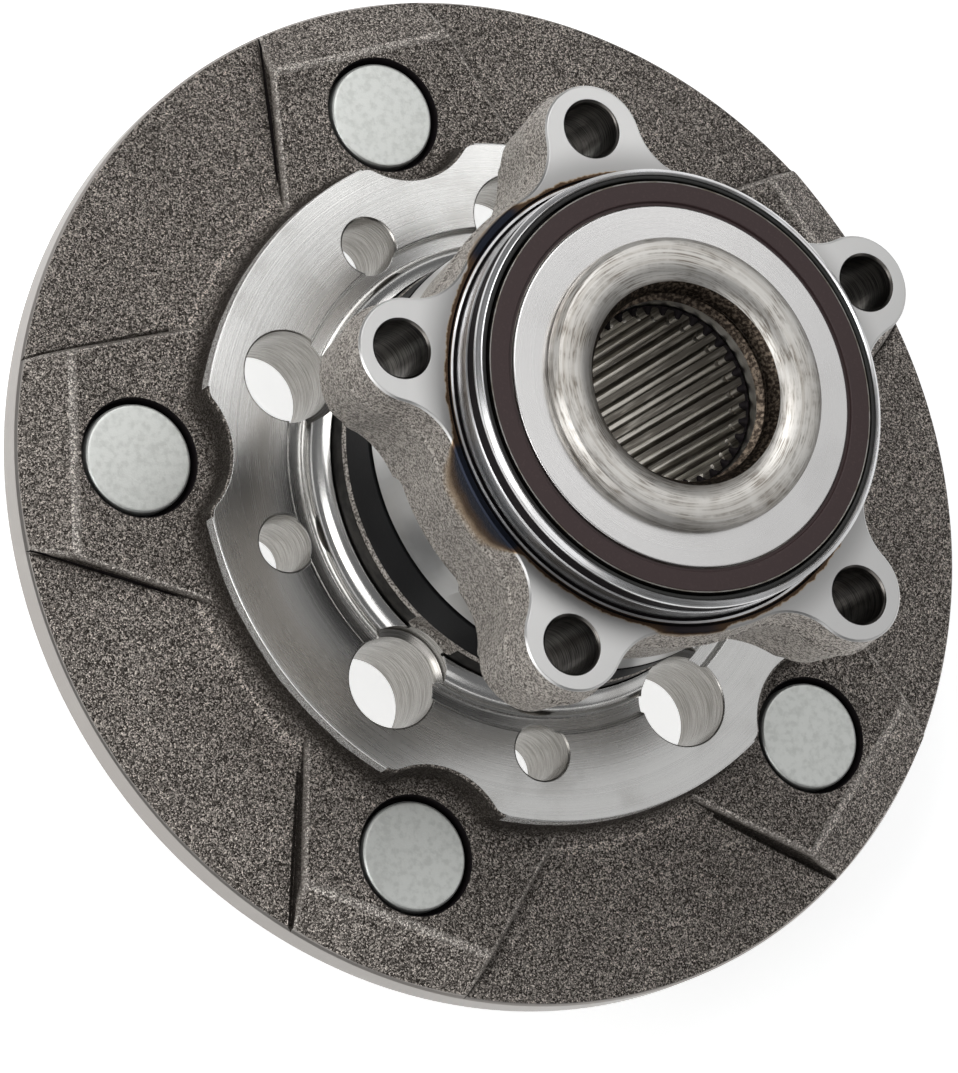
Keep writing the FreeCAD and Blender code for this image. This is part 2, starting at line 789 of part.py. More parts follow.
def cut_ring_bore(body):
    """Seal seats, lands and raceways in the bore of the outer ring."""
    edge = size("ring_chamfer") / 2
    outboard_seat = RING_START_Z + size("outboard_seal_depth")
    inboard_seat = RING_END_Z - size("inboard_seal_depth")
    turned(body, "Groove", "ring_bore", [
        (0, RING_START_Z),
        (OUTBOARD_SEAL + edge, RING_START_Z),
        (OUTBOARD_SEAL, RING_START_Z + edge),
        (OUTBOARD_SEAL, outboard_seat),
        (OUTER_LOW, outboard_seat),
        (OUTER_LOW, OUTBOARD_ROW_Z),
        (OUTER_SHOULDER, OUTBOARD_ROW_Z),
        (OUTER_SHOULDER, INBOARD_ROW_Z),
        (OUTER_LOW, INBOARD_ROW_Z),
        (OUTER_LOW, inboard_seat),
        (INBOARD_SEAL, inboard_seat),
        (INBOARD_SEAL, RING_END_Z - edge),
        (INBOARD_SEAL + edge, RING_END_Z),
        (0, RING_END_Z),
    ])
    ring_groove(body, "outboard_raceway", BALL_PATH, OUTBOARD_ROW_Z, RACE_RADIUS)
    ring_groove(body, "inboard_raceway", BALL_PATH, INBOARD_ROW_Z, RACE_RADIUS)


def cut_ear_holes(body):
    """Bolt holes through the ears, each with a flat for the bolt head under it."""
    circle = EAR_BOLT_CIRCLE
    radius = half("ear_hole")
    thickness = size("ear_thickness")
    grip = size("ear_grip")
    hole = drilled(body, "ear_hole", circle, EAR_ANGLE, radius, EAR_FACE_Z, thickness)
    mouth = edge_cone(body, "ear_mouth", circle, EAR_ANGLE, radius, size("ear_hole_chamfer"), EAR_FACE_Z)
    flat = drilled(
        body, "spot_face", circle, EAR_ANGLE, half("spot_face_diameter"), EAR_FACE_Z - grip, thickness
    )
    repeated(body, "ear_holes", [hole, mouth, flat], size("ear_count"))


def make_inner_ring():
    """Inboard inner ring, held on the stem by the rolled collar."""
    body = new_body("inner_ring")
    edge = size("inner_ring_chamfer")
    land_start = INNER_END_Z - size("slinger_land_width")
    turned(body, "Revolution", "ring", [
        (STEM, INNER_START_Z),
        (INNER_LOW - edge, INNER_START_Z),
        (INNER_LOW, INNER_START_Z + edge),
        (INNER_LOW, INBOARD_ROW_Z),
        (INNER_SHOULDER, INBOARD_ROW_Z),
        (INNER_SHOULDER, land_start - size("slinger_land_rise")),
        (SLINGER_LAND, land_start),
        (SLINGER_LAND, INNER_END_Z - edge),
        (SLINGER_LAND - edge, INNER_END_Z),
        (STEM, INNER_END_Z),
    ])
    ring_groove(body, "inboard_raceway", BALL_PATH, INBOARD_ROW_Z, RACE_RADIUS)
    return body


def make_cage(label, height):
    """Polymer cage ring with a round pocket for each ball."""
    body = new_body(label)
    inner = INNER_SHOULDER + size("cage_inner_gap")
    outer = OUTER_SHOULDER - size("cage_outer_gap")
    reach = half("cage_width")
    turned(body, "Revolution", "cage_ring", [
        (inner, height - reach),
        (outer, height - reach),
        (outer, height + reach),
        (inner, height + reach),
    ])
    pocket = body.newObject("PartDesign::SubtractiveCylinder", "pocket")
    pocket.AttachmentSupport = [(origin_element(body, "YZ_Plane"), "")]
    pocket.MapMode = "FlatFace"
    start = inner - MARGIN
    pocket.AttachmentOffset = Placement(Vector(0, height.value, start.value), Rotation())
    pocket.setExpression("AttachmentOffset.Base.y", height.text)
    pocket.setExpression("AttachmentOffset.Base.z", start.text)
    bind(pocket, "Radius", half("ball_diameter") + size("cage_clearance"))
    bind(pocket, "Height", outer + MARGIN - start)
    repeated(body, "pockets", [pocket], size("balls_per_row"))
    return body


def make_ball(label, height, angle):
    """One steel ball in its pocket."""
    ball = document.addObject("Part::Sphere", label)
    ball.Label = label
    bind(ball, "Radius", half("ball_diameter"))
    x, y = polar(BALL_PATH, angle)
    ball.Placement = Placement(Vector(x.value, y.value, height.value), Rotation())
    for axis, part in zip("xyz", (x, y, height)):
        ball.setExpression(f"Placement.Base.{axis}", part.text)
    return ball


def make_row(name, height):
    """A cage and its balls."""
    count = size("balls_per_row")
    pieces = [make_cage(f"cage_{name}", height)]
    for index in range(int(count.value)):
        pieces.append(make_ball(f"ball_{name}_{index + 1:02d}", height, 360 / count * index))
    return pieces


def make_stud(label, angle):
    """Pressed-in wheel stud: flat head, knurled neck and threaded shank, drawn plain."""
    body = new_body(label)
    head = half("stud_head_diameter")
    edge = size("stud_head_chamfer")
    thread = half("stud_thread_diameter")
    neck = thread - size("stud_neck_drop")
    seat = STUD_SEAT_Z
    top = size("pad_height") - size("head_step")
    tip = -size("stud_reach")
    tip_length = size("stud_tip")
    turned(body, "Revolution", "stud_shape", [
        (0, tip),
        (neck - edge, tip),
        (neck, tip + edge),
        (neck, tip + tip_length - (thread - neck)),
        (thread, tip + tip_length),
        (thread, 0),
        (KNURL, size("knurl_rise")),
        (KNURL, seat),
        (head, seat),
        (head, top - edge),
        (head - edge, top),
        (0, top),
    ])
    x, y = polar(STUD_CIRCLE, angle)
    body.Placement = Placement(Vector(x.value, y.value, 0), Rotation())
    body.setExpression("Placement.Base.x", x.text)
    body.setExpression("Placement.Base.y", y.text)
    return body


def make_outboard_seal():
    """Steel case pressed in the outboard bore, and the rubber that covers the nose of the ring."""
    case = new_body("outboard_seal_case")
    outer = OUTBOARD_SEAL
    wall = size("case_wall")
    lip = size("lip_wall")
    gap = size("seal_gap")
    end = RING_START_Z + size("outboard_seal_depth")
    web = end - wall
    contact = INNER_SHOULDER + gap
    web_bore = contact + size("radial_lip_length")
    turned(case, "Revolution", "case", [
        (outer - wall, RING_START_Z),
        (outer, RING_START_Z),
        (outer, end),
        (web_bore, end),
        (web_bore, web),
        (outer - wall, web),
    ])
    rubber = new_body("outboard_seal_rubber")
    cover = NOSE + size("cover_wall")
    face = SHOULDER_Z + gap
    cover_end = face + size("cover_length")
    sleeve = outer - wall
    tip = contact + size("axial_lip_spread")
    root = sleeve - lip
    turned(rubber, "Revolution", "rubber", [
        (cover, face),
        (cover, cover_end - lip / 2),
        (cover - lip / 2, cover_end),
        (NOSE, cover_end),
        (NOSE, RING_START_Z),
        (sleeve, RING_START_Z),
        (sleeve, web),
        (web_bore, web),
        (web_bore, end),
        (web_bore - lip, end),
        (contact, end - lip),
        (contact, web - lip),
        (root - lip * 2, web - lip),
        (tip, face + lip / 2),
        (tip + size("axial_lip_width"), face),
        (root, web - lip * 2),
        (root, face),
    ])
    return case, rubber


def make_inboard_seal():
    """Steel case and lips in the inboard bore, with the slinger and encoder ring they face."""
    wall = size("case_wall")
    lip = size("lip_wall")
    gap = size("seal_gap")
    outer = INBOARD_SEAL
    start = RING_END_Z - size("inboard_seal_depth")
    sleeve = SLINGER_LAND + size("slinger_wall")
    disc_under = SLINGER_Z - size("slinger_wall")
    web_bore = sleeve + gap + lip
    inner = outer - wall
    case = new_body("inboard_seal_case")
    turned(case, "Revolution", "case", [
        (web_bore, start),
        (outer, start),
        (outer, SLINGER_Z),
        (inner, SLINGER_Z),
        (inner, start + wall),
        (web_bore, start + wall),
    ])
    rubber = new_body("inboard_seal_rubber")
    coat = inner - lip / 2
    contact = sleeve + gap
    floor = start + wall
    turned(rubber, "Revolution", "rubber", [
        (contact, start),
        (web_bore, start),
        (web_bore, floor),
        (inner, floor),
        (inner, SLINGER_Z),
        (outer, SLINGER_Z),
        (outer, SLINGER_Z + lip / 2),
        (coat, SLINGER_Z + lip / 2),
        (coat, floor + lip),
        (coat - lip, floor + lip),
        (SLINGER - lip / 2, disc_under - gap),
        (SLINGER - lip, disc_under - gap),
        (coat - lip * 2.5, floor + lip),
        (contact, floor + lip),
    ])
    slinger = new_body("slinger")
    turned(slinger, "Revolution", "slinger", [
        (SLINGER_LAND, start + wall + lip),
        (sleeve, start + wall + lip),
        (sleeve, disc_under),
        (SLINGER, disc_under),
        (SLINGER, SLINGER_Z),
        (SLINGER_LAND, SLINGER_Z),
    ])
    encoder = new_body("encoder_ring")
    bore = SLINGER_LAND + size("encoder_inset")
    turned(encoder, "Revolution", "encoder", [
        (bore, SLINGER_Z),
        (SLINGER, SLINGER_Z),
        (SLINGER, INNER_END_Z),
        (bore, INNER_END_Z),
    ])
    return case, rubber, slinger, encoder


def make_studs():
    count = size("stud_count")
    return [
        make_stud(f"wheel_stud_{index + 1}", STUD_ANGLE + 360 / count * index)
        for index in range(int(count.value))
    ]


def check_document():
    """Stops the build where a feature failed to recompute."""
    failed = [item.Label for item in document.Objects if {"Invalid", "Error"} & set(item.State)]
    if failed:
        raise SystemExit(f"failed features: {failed}")


def export(pieces):
    """Writes one STEP file for each piece, once every one of them is sound."""
    for piece in pieces:
        shape = piece.Shape
        if shape.isNull() or not shape.isValid() or len(shape.Solids) != 1:
            raise SystemExit(f"{piece.Label} is not one valid solid")
    os.makedirs("parts", exist_ok=True)
    for piece in pieces:
        piece.Shape.exportStep(os.path.join("parts", f"{piece.Label}.step"))
        print(f"{piece.Label}: {piece.Shape.Volume / 1000:.2f} cm3")


def main():
    pieces = [make_hub(), make_outer_ring(), make_inner_ring()]
    pieces += make_row("outboard", OUTBOARD_ROW_Z)
    pieces += make_row("inboard", INBOARD_ROW_Z)
    pieces += make_studs()
    pieces += make_outboard_seal()
    pieces += make_inboard_seal()
    document.recompute()
    check_document()
    export(pieces)


main()
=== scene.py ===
"""Looks of a flanged hub bearing unit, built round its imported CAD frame.

Shapes are drawn in millimetres in the row's frame (origin in the middle of the wheel face, +Z inboard)
and turned to metres when a piece is finished.
"""

import logging
import math
from collections.abc import Callable, Iterable, Sequence
from dataclasses import dataclass, field
from enum import IntEnum

import bmesh
import bpy
from mathutils import Matrix, Vector

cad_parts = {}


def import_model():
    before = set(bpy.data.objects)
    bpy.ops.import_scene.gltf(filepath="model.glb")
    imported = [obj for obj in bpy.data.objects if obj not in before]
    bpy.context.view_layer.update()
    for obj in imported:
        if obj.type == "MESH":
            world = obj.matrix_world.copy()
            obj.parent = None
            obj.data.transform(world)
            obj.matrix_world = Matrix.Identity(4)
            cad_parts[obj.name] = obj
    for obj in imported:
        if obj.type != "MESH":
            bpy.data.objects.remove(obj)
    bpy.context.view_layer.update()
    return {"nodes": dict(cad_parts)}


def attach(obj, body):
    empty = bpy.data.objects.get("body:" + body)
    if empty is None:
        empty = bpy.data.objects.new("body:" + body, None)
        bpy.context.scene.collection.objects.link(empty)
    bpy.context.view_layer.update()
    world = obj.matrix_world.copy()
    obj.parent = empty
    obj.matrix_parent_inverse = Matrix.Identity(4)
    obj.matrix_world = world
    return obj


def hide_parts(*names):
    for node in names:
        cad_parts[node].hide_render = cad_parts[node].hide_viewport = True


log = logging.getLogger("hub_bearing")

MM = 0.001
FULL_TURN = 2.0 * math.pi
FINE_STEPS = 360
PLAIN_STEPS = 192
HEAD_STEPS = 128
HOLE_STEPS = 96
SAME_POINT = 1e-4

Corner = tuple[float, float] | tuple[float, float, float]
Color = tuple[float, float, float]
Place = tuple[float, float, float]
Socket = bpy.types.NodeSocket
Material = bpy.types.Material


class Skin(IntEnum):
    """The kinds of surface that one steel piece can show, in the order of its material slots."""

    FORGED = 0
    TURNED_FACE = 1
    TURNED_WALL = 2
    DRILLED = 3
    POLISHED = 4
    # near-black painted shade laid in holes, grooves and creases
    RECESS = 5
    RIM = 6
    COLLAR = 7
    THROAT = 8
    EAR_FACE = 9
    SPIGOT = 10
    GROUND = 11
    FORGED_EAR = 12
    SEAT_WALL = 13
    SHOULDER = 14
    # near-black painted shade on the shoulder behind the ridge
    BOLT_HOLE = 15
    SPLINE = 16
    # bevelled pad edges with a painted highlight
    WORN_EDGE = 17


# Shapes


def polar(radius: float, degrees: float) -> Vector:
    """The flat point at a radius and an angle."""
    turn = math.radians(degrees)
    return Vector((radius * math.cos(turn), radius * math.sin(turn)))


def arc(centre: Sequence[float], radius: float, start: float, end: float, steps: int) -> list[Corner]:
    """Points along an arc.

    Args:
        centre: Middle of the arc, in the plane that it is drawn in.
        radius: Radius in millimetres.
        start: First angle in degrees.
        end: Last angle in degrees; it may be the smaller one.
        steps: Number of straight runs.

    Returns:
        The points, both ends included.
    """
    points = []
    for index in range(steps + 1):
        at = Vector(centre) + polar(radius, start + (end - start) * index / steps)
        points.append((at.x, at.y))
    return points


def placed(name: str, data: bpy.types.ID) -> bpy.types.Object:
    """A new object that holds the data, in the scene."""
    item = bpy.data.objects.new(name, data)
    bpy.context.scene.collection.objects.link(item)
    return item


class Shape:
    """A closed solid in millimetres, kept as a bmesh until it becomes a piece."""

    def __init__(self) -> None:
        """Starts with nothing."""
        self.bm = bmesh.new()

    @classmethod
    def turned(
        cls,
        corners: Sequence[Corner],
        steps: int = FINE_STEPS,
        centre: Sequence[float] = (0.0, 0.0),
        skin: Skin = Skin.FORGED,
    ) -> "Shape":
        """Spins a closed outline about an upright line.

        Args:
            corners: (radius, height) pairs; a third number eases that corner over such a length.
            steps: Facets round the turn.
            centre: Where the line stands in the flange's plane.
            skin: Surface that the faces get.

        Returns:
            The turned solid.
        """
        shape = cls()
        bm = shape.bm
        verts = [bm.verts.new((corner[0], 0.0, corner[1])) for corner in corners]
        for first, second in zip(verts, verts[1:] + verts[:1]):
            bm.edges.new((first, second))
        eased: dict[float, list[bmesh.types.BMVert]] = {}
        for vert, corner in zip(verts, corners):
            if len(corner) == 3:
                eased.setdefault(corner[2], []).append(vert)
        for length, group in eased.items():
            bmesh.ops.bevel(
                bm, geom=group, offset=length, offset_type="OFFSET", segments=3,
                profile=0.5, affect="VERTICES", material=-1,
            )
        bmesh.ops.spin(
            bm, geom=bm.verts[:] + bm.edges[:], cent=(0.0, 0.0, 0.0), axis=(0.0, 0.0, 1.0),
            angle=FULL_TURN, steps=steps, use_merge=True, use_duplicate=False,
        )
        bmesh.ops.remove_doubles(bm, verts=bm.verts[:], dist=SAME_POINT)
        bmesh.ops.translate(bm, verts=bm.verts[:], vec=(centre[0], centre[1], 0.0))
        return shape.tidy(skin)

    @classmethod
    def stacked(cls, levels: Sequence[tuple[float, list[Corner]]], skin: Skin = Skin.FORGED) -> "Shape":
        """Bridges flat outlines of equal count, one above the other, and closes both ends.

        Args:
            levels: (height, outline) pairs from the lowest up.
            skin: Surface that the faces get.

        Returns:
            The closed stack.
        """
        shape = cls()
        bm = shape.bm
        below: list[bmesh.types.BMEdge] = []
        for height, outline in levels:
            verts = [bm.verts.new((point[0], point[1], height)) for point in outline]
            loop = [bm.edges.new(pair) for pair in zip(verts, verts[1:] + verts[:1])]
            if below:
                bmesh.ops.bridge_loops(bm, edges=below + loop)
            if height in (levels[0][0], levels[-1][0]):
                bmesh.ops.edgeloop_fill(bm, edges=loop)
            below = loop
        return shape.tidy(skin)

    def tidy(self, skin: Skin | None = None) -> "Shape":
        """Points the faces outwards, and gives them one surface where asked."""
        bmesh.ops.recalc_face_normals(self.bm, faces=self.bm.faces[:])
        if skin is not None:
            for face in self.bm.faces:
                face.material_index = skin
        return self

    def repeated(self, count: int, lead: float = 0.0) -> "Shape":
        """Copies evenly spaced round the axis.

        Args:
            count: How many in a full turn.
            lead: Angle of the first one, in degrees.

        Returns:
            One shape with all the copies.
        """
        ring = Shape()
        mesh = bpy.data.meshes.new("pattern")
        for index in range(count):
            turned = self.bm.copy()
            turn = Matrix.Rotation(math.radians(lead) + FULL_TURN * index / count, 4, "Z")
            bmesh.ops.transform(turned, matrix=turn, verts=turned.verts[:])
            turned.to_mesh(mesh)
            ring.bm.from_mesh(mesh)
            turned.free()
        bpy.data.meshes.remove(mesh)
        return ring

    def joined(self, others: Iterable["Shape"]) -> "Shape":
        """Adds the meshes of other shapes, which mustn't touch this one or each other."""
        mesh = bpy.data.meshes.new("joined")
        for other in others:
            other.bm.to_mesh(mesh)
            self.bm.from_mesh(mesh)
        bpy.data.meshes.remove(mesh)
        return self

    def merged(self, tool: "Shape") -> "Shape":
        """This solid and the tool as one."""
        return self._boolean(tool, "UNION")

    def cut(self, tool: "Shape") -> "Shape":
        """This solid without the tool."""
        return self._boolean(tool, "DIFFERENCE")

    def _boolean(self, tool: "Shape", operation: str) -> "Shape":
        """Runs an exact boolean between two solids and keeps the surface of each face."""
        objects = []
        for name, bm in (("base", self.bm), ("tool", tool.bm)):
            mesh = bpy.data.meshes.new(name)
            bm.to_mesh(mesh)
            bm.free()
            for _ in Skin:
                mesh.materials.append(None)
            objects.append(placed(name, mesh))
        base, cutter = objects
        modifier = base.modifiers.new("boolean", "BOOLEAN")
        modifier.operation = operation
        modifier.solver = "EXACT"
        modifier.material_mode = "INDEX"
        modifier.object = cutter
        solid = base.evaluated_get(bpy.context.evaluated_depsgraph_get())
        self.bm = bmesh.new()
        self.bm.from_mesh(solid.to_mesh())
        solid.to_mesh_clear()
        for item in objects:
            mesh = item.data
            bpy.data.objects.remove(item)
            bpy.data.meshes.remove(mesh)
        bmesh.ops.remove_doubles(self.bm, verts=self.bm.verts[:], dist=SAME_POINT)
        return self

    def dressed(self, choose: Callable[[Vector, Vector], Skin | None]) -> "Shape":
        """Chooses the surface of each face.

        Args:
            choose: Gets a face's middle and its normal, and gives its surface, or None to leave it.

        Returns:
            This shape.
        """
        for face in self.bm.faces:
            skin = choose(face.calc_center_median(), face.normal)
            if skin is not None:
                face.material_index = skin
        return self

    def piece(
        self,
        name: str,
        materials: Sequence[Material],
        body: str,
        slot: str,
        stands_for: Sequence[str] = (),
        sharp: float = 26.0,
    ) -> bpy.types.Object:
        """Makes the finished object.

        Args:
            name: Name of the piece.
            materials: One material for each surface number in use, or a single one.
            body: CAD body that it rides on.
            slot: Material slot of the record; not used.
            stands_for: CAD nodes that it replaces.
            sharp: Angle in degrees above which an edge stays hard.

        Returns:
            The object, riding on its body.
        """
        bm = self.bm
        bmesh.ops.scale(bm, vec=(MM, MM, MM), verts=bm.verts[:])
        limit = math.radians(sharp)
        for face in bm.faces:
            face.smooth = True
        for edge in bm.edges:
            edge.smooth = edge.calc_face_angle(0.0) < limit
        used = sorted({face.material_index for face in bm.faces}) if len(materials) > 1 else [0]
        for face in bm.faces:
            face.material_index = used.index(face.material_index) if len(materials) > 1 else 0
        mesh = bpy.data.meshes.new(name)
        bm.to_mesh(mesh)
        bm.free()
        for index in used:
            mesh.materials.append(materials[index])
        item = placed(name, mesh)
        weighted = item.modifiers.new("weighted_normals", "WEIGHTED_NORMAL")
        weighted.keep_sharp = True
        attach(item, body)
        if stands_for:
            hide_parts(*stands_for)
        log.info("%s: %d faces on %s", name, len(mesh.polygons), body)
        return item


# Finishes


class Recipe:
    """Builds the nodes of one material on the piece's own object coordinates."""

    def __init__(self, name: str) -> None:
        """Starts a material with its shader and the coordinates that its pattern follows."""
        self.material = bpy.data.materials.new(name)
        self.material.use_nodes = True
        self.tree = self.material.node_tree
        self.shader = self.tree.nodes["Principled BSDF"]
        self.place = self.node("ShaderNodeTexCoord").outputs["Object"]

    def node(
        self, kind: str, inputs: dict[str, object] | None = None, **settings: object
    ) -> bpy.types.Node:
        """A new node with its properties set and its inputs fed."""
        made = self.tree.nodes.new(kind)
        for key, value in settings.items():
            setattr(made, key, value)
        for name, value in (inputs or {}).items():
            self.feed(made.inputs[name], value)
        return made

    def feed(self, socket: Socket, value: object) -> None:
        """Links an output to a socket, or sets the socket to a value."""
        if isinstance(value, bpy.types.NodeSocket):
            self.tree.links.new(value, socket)
        else:
            socket.default_value = value

    def math(self, operation: str, *values: object, clamp: bool = False) -> Socket:
        """One sum of numbers or outputs."""
        made = self.node("ShaderNodeMath", operation=operation, use_clamp=clamp)
        for socket, value in zip(made.inputs, values):
            self.feed(socket, value)
        return made.outputs[0]

    def plus(self, first: object, second: object, clamp: bool = False) -> Socket:
        """The first and the second together."""
        return self.math("ADD", first, second, clamp=clamp)

    def minus(self, first: object, second: object) -> Socket:
        """The first without the second."""
        return self.math("SUBTRACT", first, second)

    def times(self, first: object, second: object) -> Socket:
        """The first times the second."""
        return self.math("MULTIPLY", first, second)

    def over(self, first: object, second: object) -> Socket:
        """The first divided by the second."""
        return self.math("DIVIDE", first, second)

    def split(self) -> tuple[Socket, Socket, Socket]:
        """The object's X, Y and Z."""
        parts = self.node("ShaderNodeSeparateXYZ", {"Vector": self.place})
        return parts.outputs[0], parts.outputs[1], parts.outputs[2]

    def radius(self) -> Socket:
        """Distance from the axis in millimetres."""
        x, y, _ = self.split()
        across, up = self.times(x, 1 / MM), self.times(y, 1 / MM)
        return self.math("SQRT", self.plus(self.times(across, across), self.times(up, up)))

    def height(self) -> Socket:
        """Height in millimetres above the wheel face."""
        return self.times(self.split()[2], 1 / MM)

    def angle(self) -> Socket:
        """Angle about the axis, in radians."""
        x, y, _ = self.split()
        return self.math("ARCTAN2", y, x)

    def noise(self, grain: float, detail: float = 3.0, roughness: float = 0.55) -> Socket:
        """Noise whose blotches are about the given number of millimetres across."""
        return self.node("ShaderNodeTexNoise", {
            "Vector": self.place, "Scale": 1.0 / (grain * MM), "Detail": detail, "Roughness": roughness,
        }).outputs["Fac"]

    def cell_noise(self, cells: Sequence[Socket], detail: float) -> Socket:
        """Noise over coordinates of its own, with a blotch to each unit."""
        place = self.node("ShaderNodeCombineXYZ", dict(zip("XYZ", cells)))
        return self.node("ShaderNodeTexNoise", {
            "Vector": place.outputs[0], "Scale": 1.0, "Detail": detail,
        }).outputs["Fac"]

    def stretched(self, lengths: Place, detail: float) -> Socket:
        """Noise whose blotches have the given lengths along X, Y and Z, in millimetres."""
        cells = [
            self.times(value, 1.0 / (length * MM)) for value, length in zip(self.split(), lengths)
        ]
        return self.cell_noise(cells, detail)

    def streaks(self, radial: float, along: float, stretch: float = 1.0) -> Socket:
        """Noise drawn out round the axis, as a cutting tool leaves it.

        Args:
            radial: Width of a streak across the cut, in millimetres.
            along: Length of a streak round the axis, in degrees.
            stretch: Width of a streak up the axis, in millimetres.

        Returns:
            The noise, from 0 to 1.
        """
        turn = self.math("COSINE", self.angle())
        side = self.math("SINE", self.angle())
        reach = math.degrees(1.0) / along
        cells = (
            self.plus(self.over(self.radius(), radial), self.times(turn, reach)),
            self.times(side, reach),
            self.over(self.height(), stretch),
        )
        return self.cell_noise(cells, 2.0)

    def grains(self, size: float) -> tuple[Socket, Socket]:
        """Grains of the given size in millimetres: a value of its own for each one, and its hollow."""
        made = self.node("ShaderNodeTexVoronoi", {"Vector": self.place, "Scale": 1.0 / (size * MM)})
        parts = self.node("ShaderNodeSeparateColor", {"Color": made.outputs["Color"]})
        return parts.outputs[0], made.outputs["Distance"]

    def ramp(self, value: Socket, low: float, high: float) -> Socket:
        """A smooth rise from 0 to 1 between two values."""
        return self.node(
            "ShaderNodeMapRange", {"Value": value, "From Min": low, "From Max": high},
            interpolation_type="SMOOTHSTEP",
        ).outputs["Result"]

    def between(self, value: Socket, low: float, high: float, soft: float) -> Socket:
        """1 inside a band and 0 outside it, with soft edges."""
        rise = self.ramp(value, low - soft, low + soft)
        fall = self.ramp(value, high + soft, high - soft)
        return self.times(rise, fall)

    def span(self, value: Socket, low: float, high: float) -> Socket:
        """Turns 0 to 1 into low to high."""
        return self.node(
            "ShaderNodeMapRange", {"Value": value, "To Min": low, "To Max": high}
        ).outputs["Result"]

    def blend(self, share: object, first: object, second: object) -> Socket:
        """A colour between two colours."""
        made = self.node("ShaderNodeMix", data_type="RGBA")
        self.feed(made.inputs["Factor"], share)
        for socket, value in (("A", first), ("B", second)):
            target = next(s for s in made.inputs if s.name == socket and s.type == "RGBA")
            self.feed(target, (*value, 1.0) if isinstance(value, tuple) else value)
        return next(s for s in made.outputs if s.type == "RGBA")

    def bump(self, value: Socket, depth: float, under: Socket | None = None) -> Socket:
        """Relief of the given depth in millimetres, over another relief where there is one."""
        inputs = {"Strength": 1.0, "Distance": depth * MM, "Height": value}
        if under is not None:
            inputs["Normal"] = under
        return self.node("ShaderNodeBump", inputs).outputs["Normal"]

    def rounded(self, radius: float) -> Socket:
        """A normal that rounds off edges over the given millimetres."""
        return self.node("ShaderNodeBevel", {"Radius": radius * MM}, samples=4).outputs["Normal"]

    def crevice_shade(self, reach: float) -> Socket:
        """Painted shade from ambient occlusion: 0 deep in corners and creases, and 1 out in the open,
        over the given millimetres.
        """
        open_air = self.node(
            "ShaderNodeAmbientOcclusion", {"Distance": reach * MM}, samples=6, only_local=True
        )
        return self.ramp(open_air.outputs["AO"], 0.25, 0.92)

    def level(self) -> Socket:
        """How level the surface lies: 1 where it is flat, and 0 on upright walls."""
        normal = self.node("ShaderNodeTexCoord").outputs["Normal"]
        return self.node("ShaderNodeSeparateXYZ", {"Vector": normal}).outputs[2]

    def turned_grain(self, amount: float) -> None:
        """Stretches highlights across the marks of a lathe tool, which run round the axis."""
        x, y, _ = self.split()
        along = self.node("ShaderNodeCombineXYZ", {"X": self.times(y, -1.0), "Y": x})
        world = self.node(
            "ShaderNodeVectorTransform", {"Vector": along.outputs[0]},
            vector_type="VECTOR", convert_from="OBJECT", convert_to="WORLD",
        )
        self.feed(self.shader.inputs["Tangent"], world.outputs[0])
        self.shader.inputs["Anisotropic"].default_value = amount

    def finish(
        self, color: object, roughness: object, metallic: float = 1.0, normal: Socket | None = None
    ) -> Material:
        """Feeds the shader and gives the material."""
        self.feed(self.shader.inputs["Base Color"], (*color, 1.0) if isinstance(color, tuple) else color)
        self.feed(self.shader.inputs["Roughness"], roughness)
        self.shader.inputs["Metallic"].default_value = metallic
        if normal is not None:
            self.feed(self.shader.inputs["Normal"], normal)
        return self.material


@dataclass(frozen=True)
class ForgedSteel:
    """Shot-blasted forging: dark, rough and full of bright specks.

    Slopes within highlight_slope get a painted highlight, steeper ones get painted shade, and corners
    and creases get painted shade too. Above bright_from a lathe has cut the forging bright, down to a
    ragged line.
    """

    name: str = "forged_steel"
    dark: Color = (0.035, 0.029, 0.024)
    light: Color = (0.95, 0.862, 0.78)
    grain: float = 0.25
    contrast: float = 2.5
    lump: float = 2.6
    cloud: float = 24.0
    # Reach of the painted shade in corners and creases, in millimetres.
    crevice_shade: float = 4.0
    # Painted highlight on gentle slopes and painted shade on steep walls.
    highlight_slope: tuple[float, float] = (0.93, 0.985)
    highlight_gain: float = 0.75
    steep_shade: float = 0.22
    relief: float = 0.17
    rounding: float = 0.45
    metallic: float = 0.85
    bright_from: float | None = None
    bright: Color = (0.86, 0.85, 0.83)
    ragged: float = 0.9

    def build(self) -> Material:
        """The material."""
        recipe = Recipe(self.name)
        fine, hollow = recipe.grains(self.grain)
        coarse = recipe.ramp(recipe.noise(self.grain * 2.4, 2.0, 0.5), 0.30, 0.70)
        lumps = recipe.noise(self.lump, 3.0)
        clouds = recipe.noise(self.cloud, 2.0)
        mix = recipe.plus(recipe.times(fine, 0.80), recipe.times(coarse, 0.20))
        shade = recipe.math("POWER", mix, self.contrast)
        shade = recipe.times(shade, recipe.span(clouds, 0.7, 1.25))
        # Painted shade: darker in corners and creases, from ambient occlusion.
        shade = recipe.times(shade, recipe.crevice_shade(self.crevice_shade))
        # Painted shade on steep walls and a painted highlight on gentle slopes, by the tilt of the
        # surface.
        level = recipe.level()
        gentle, flat = self.highlight_slope
        worn = recipe.times(recipe.between(level, gentle, flat, 0.015), self.highlight_gain)
        slope = recipe.plus(recipe.span(recipe.ramp(level, 0.35, gentle), self.steep_shade, 1.0), worn)
        color = recipe.blend(recipe.times(shade, slope), self.dark, self.light)
        height = recipe.plus(recipe.minus(mix, hollow), recipe.times(lumps, 0.9))
        normal = recipe.bump(height, self.relief, recipe.rounded(self.rounding))
        rough = recipe.span(mix, 0.62, 0.34)
        if self.bright_from is not None:
            edge = recipe.minus(
                recipe.height(), recipe.span(recipe.noise(7.0, 3.0), -self.ragged, self.ragged)
            )
            cut = recipe.ramp(edge, self.bright_from - 0.12, self.bright_from + 0.12)
            color = recipe.blend(cut, color, self.bright)
            rough = recipe.plus(recipe.times(cut, -0.2), rough)
        return recipe.finish(color, rough, self.metallic, normal)


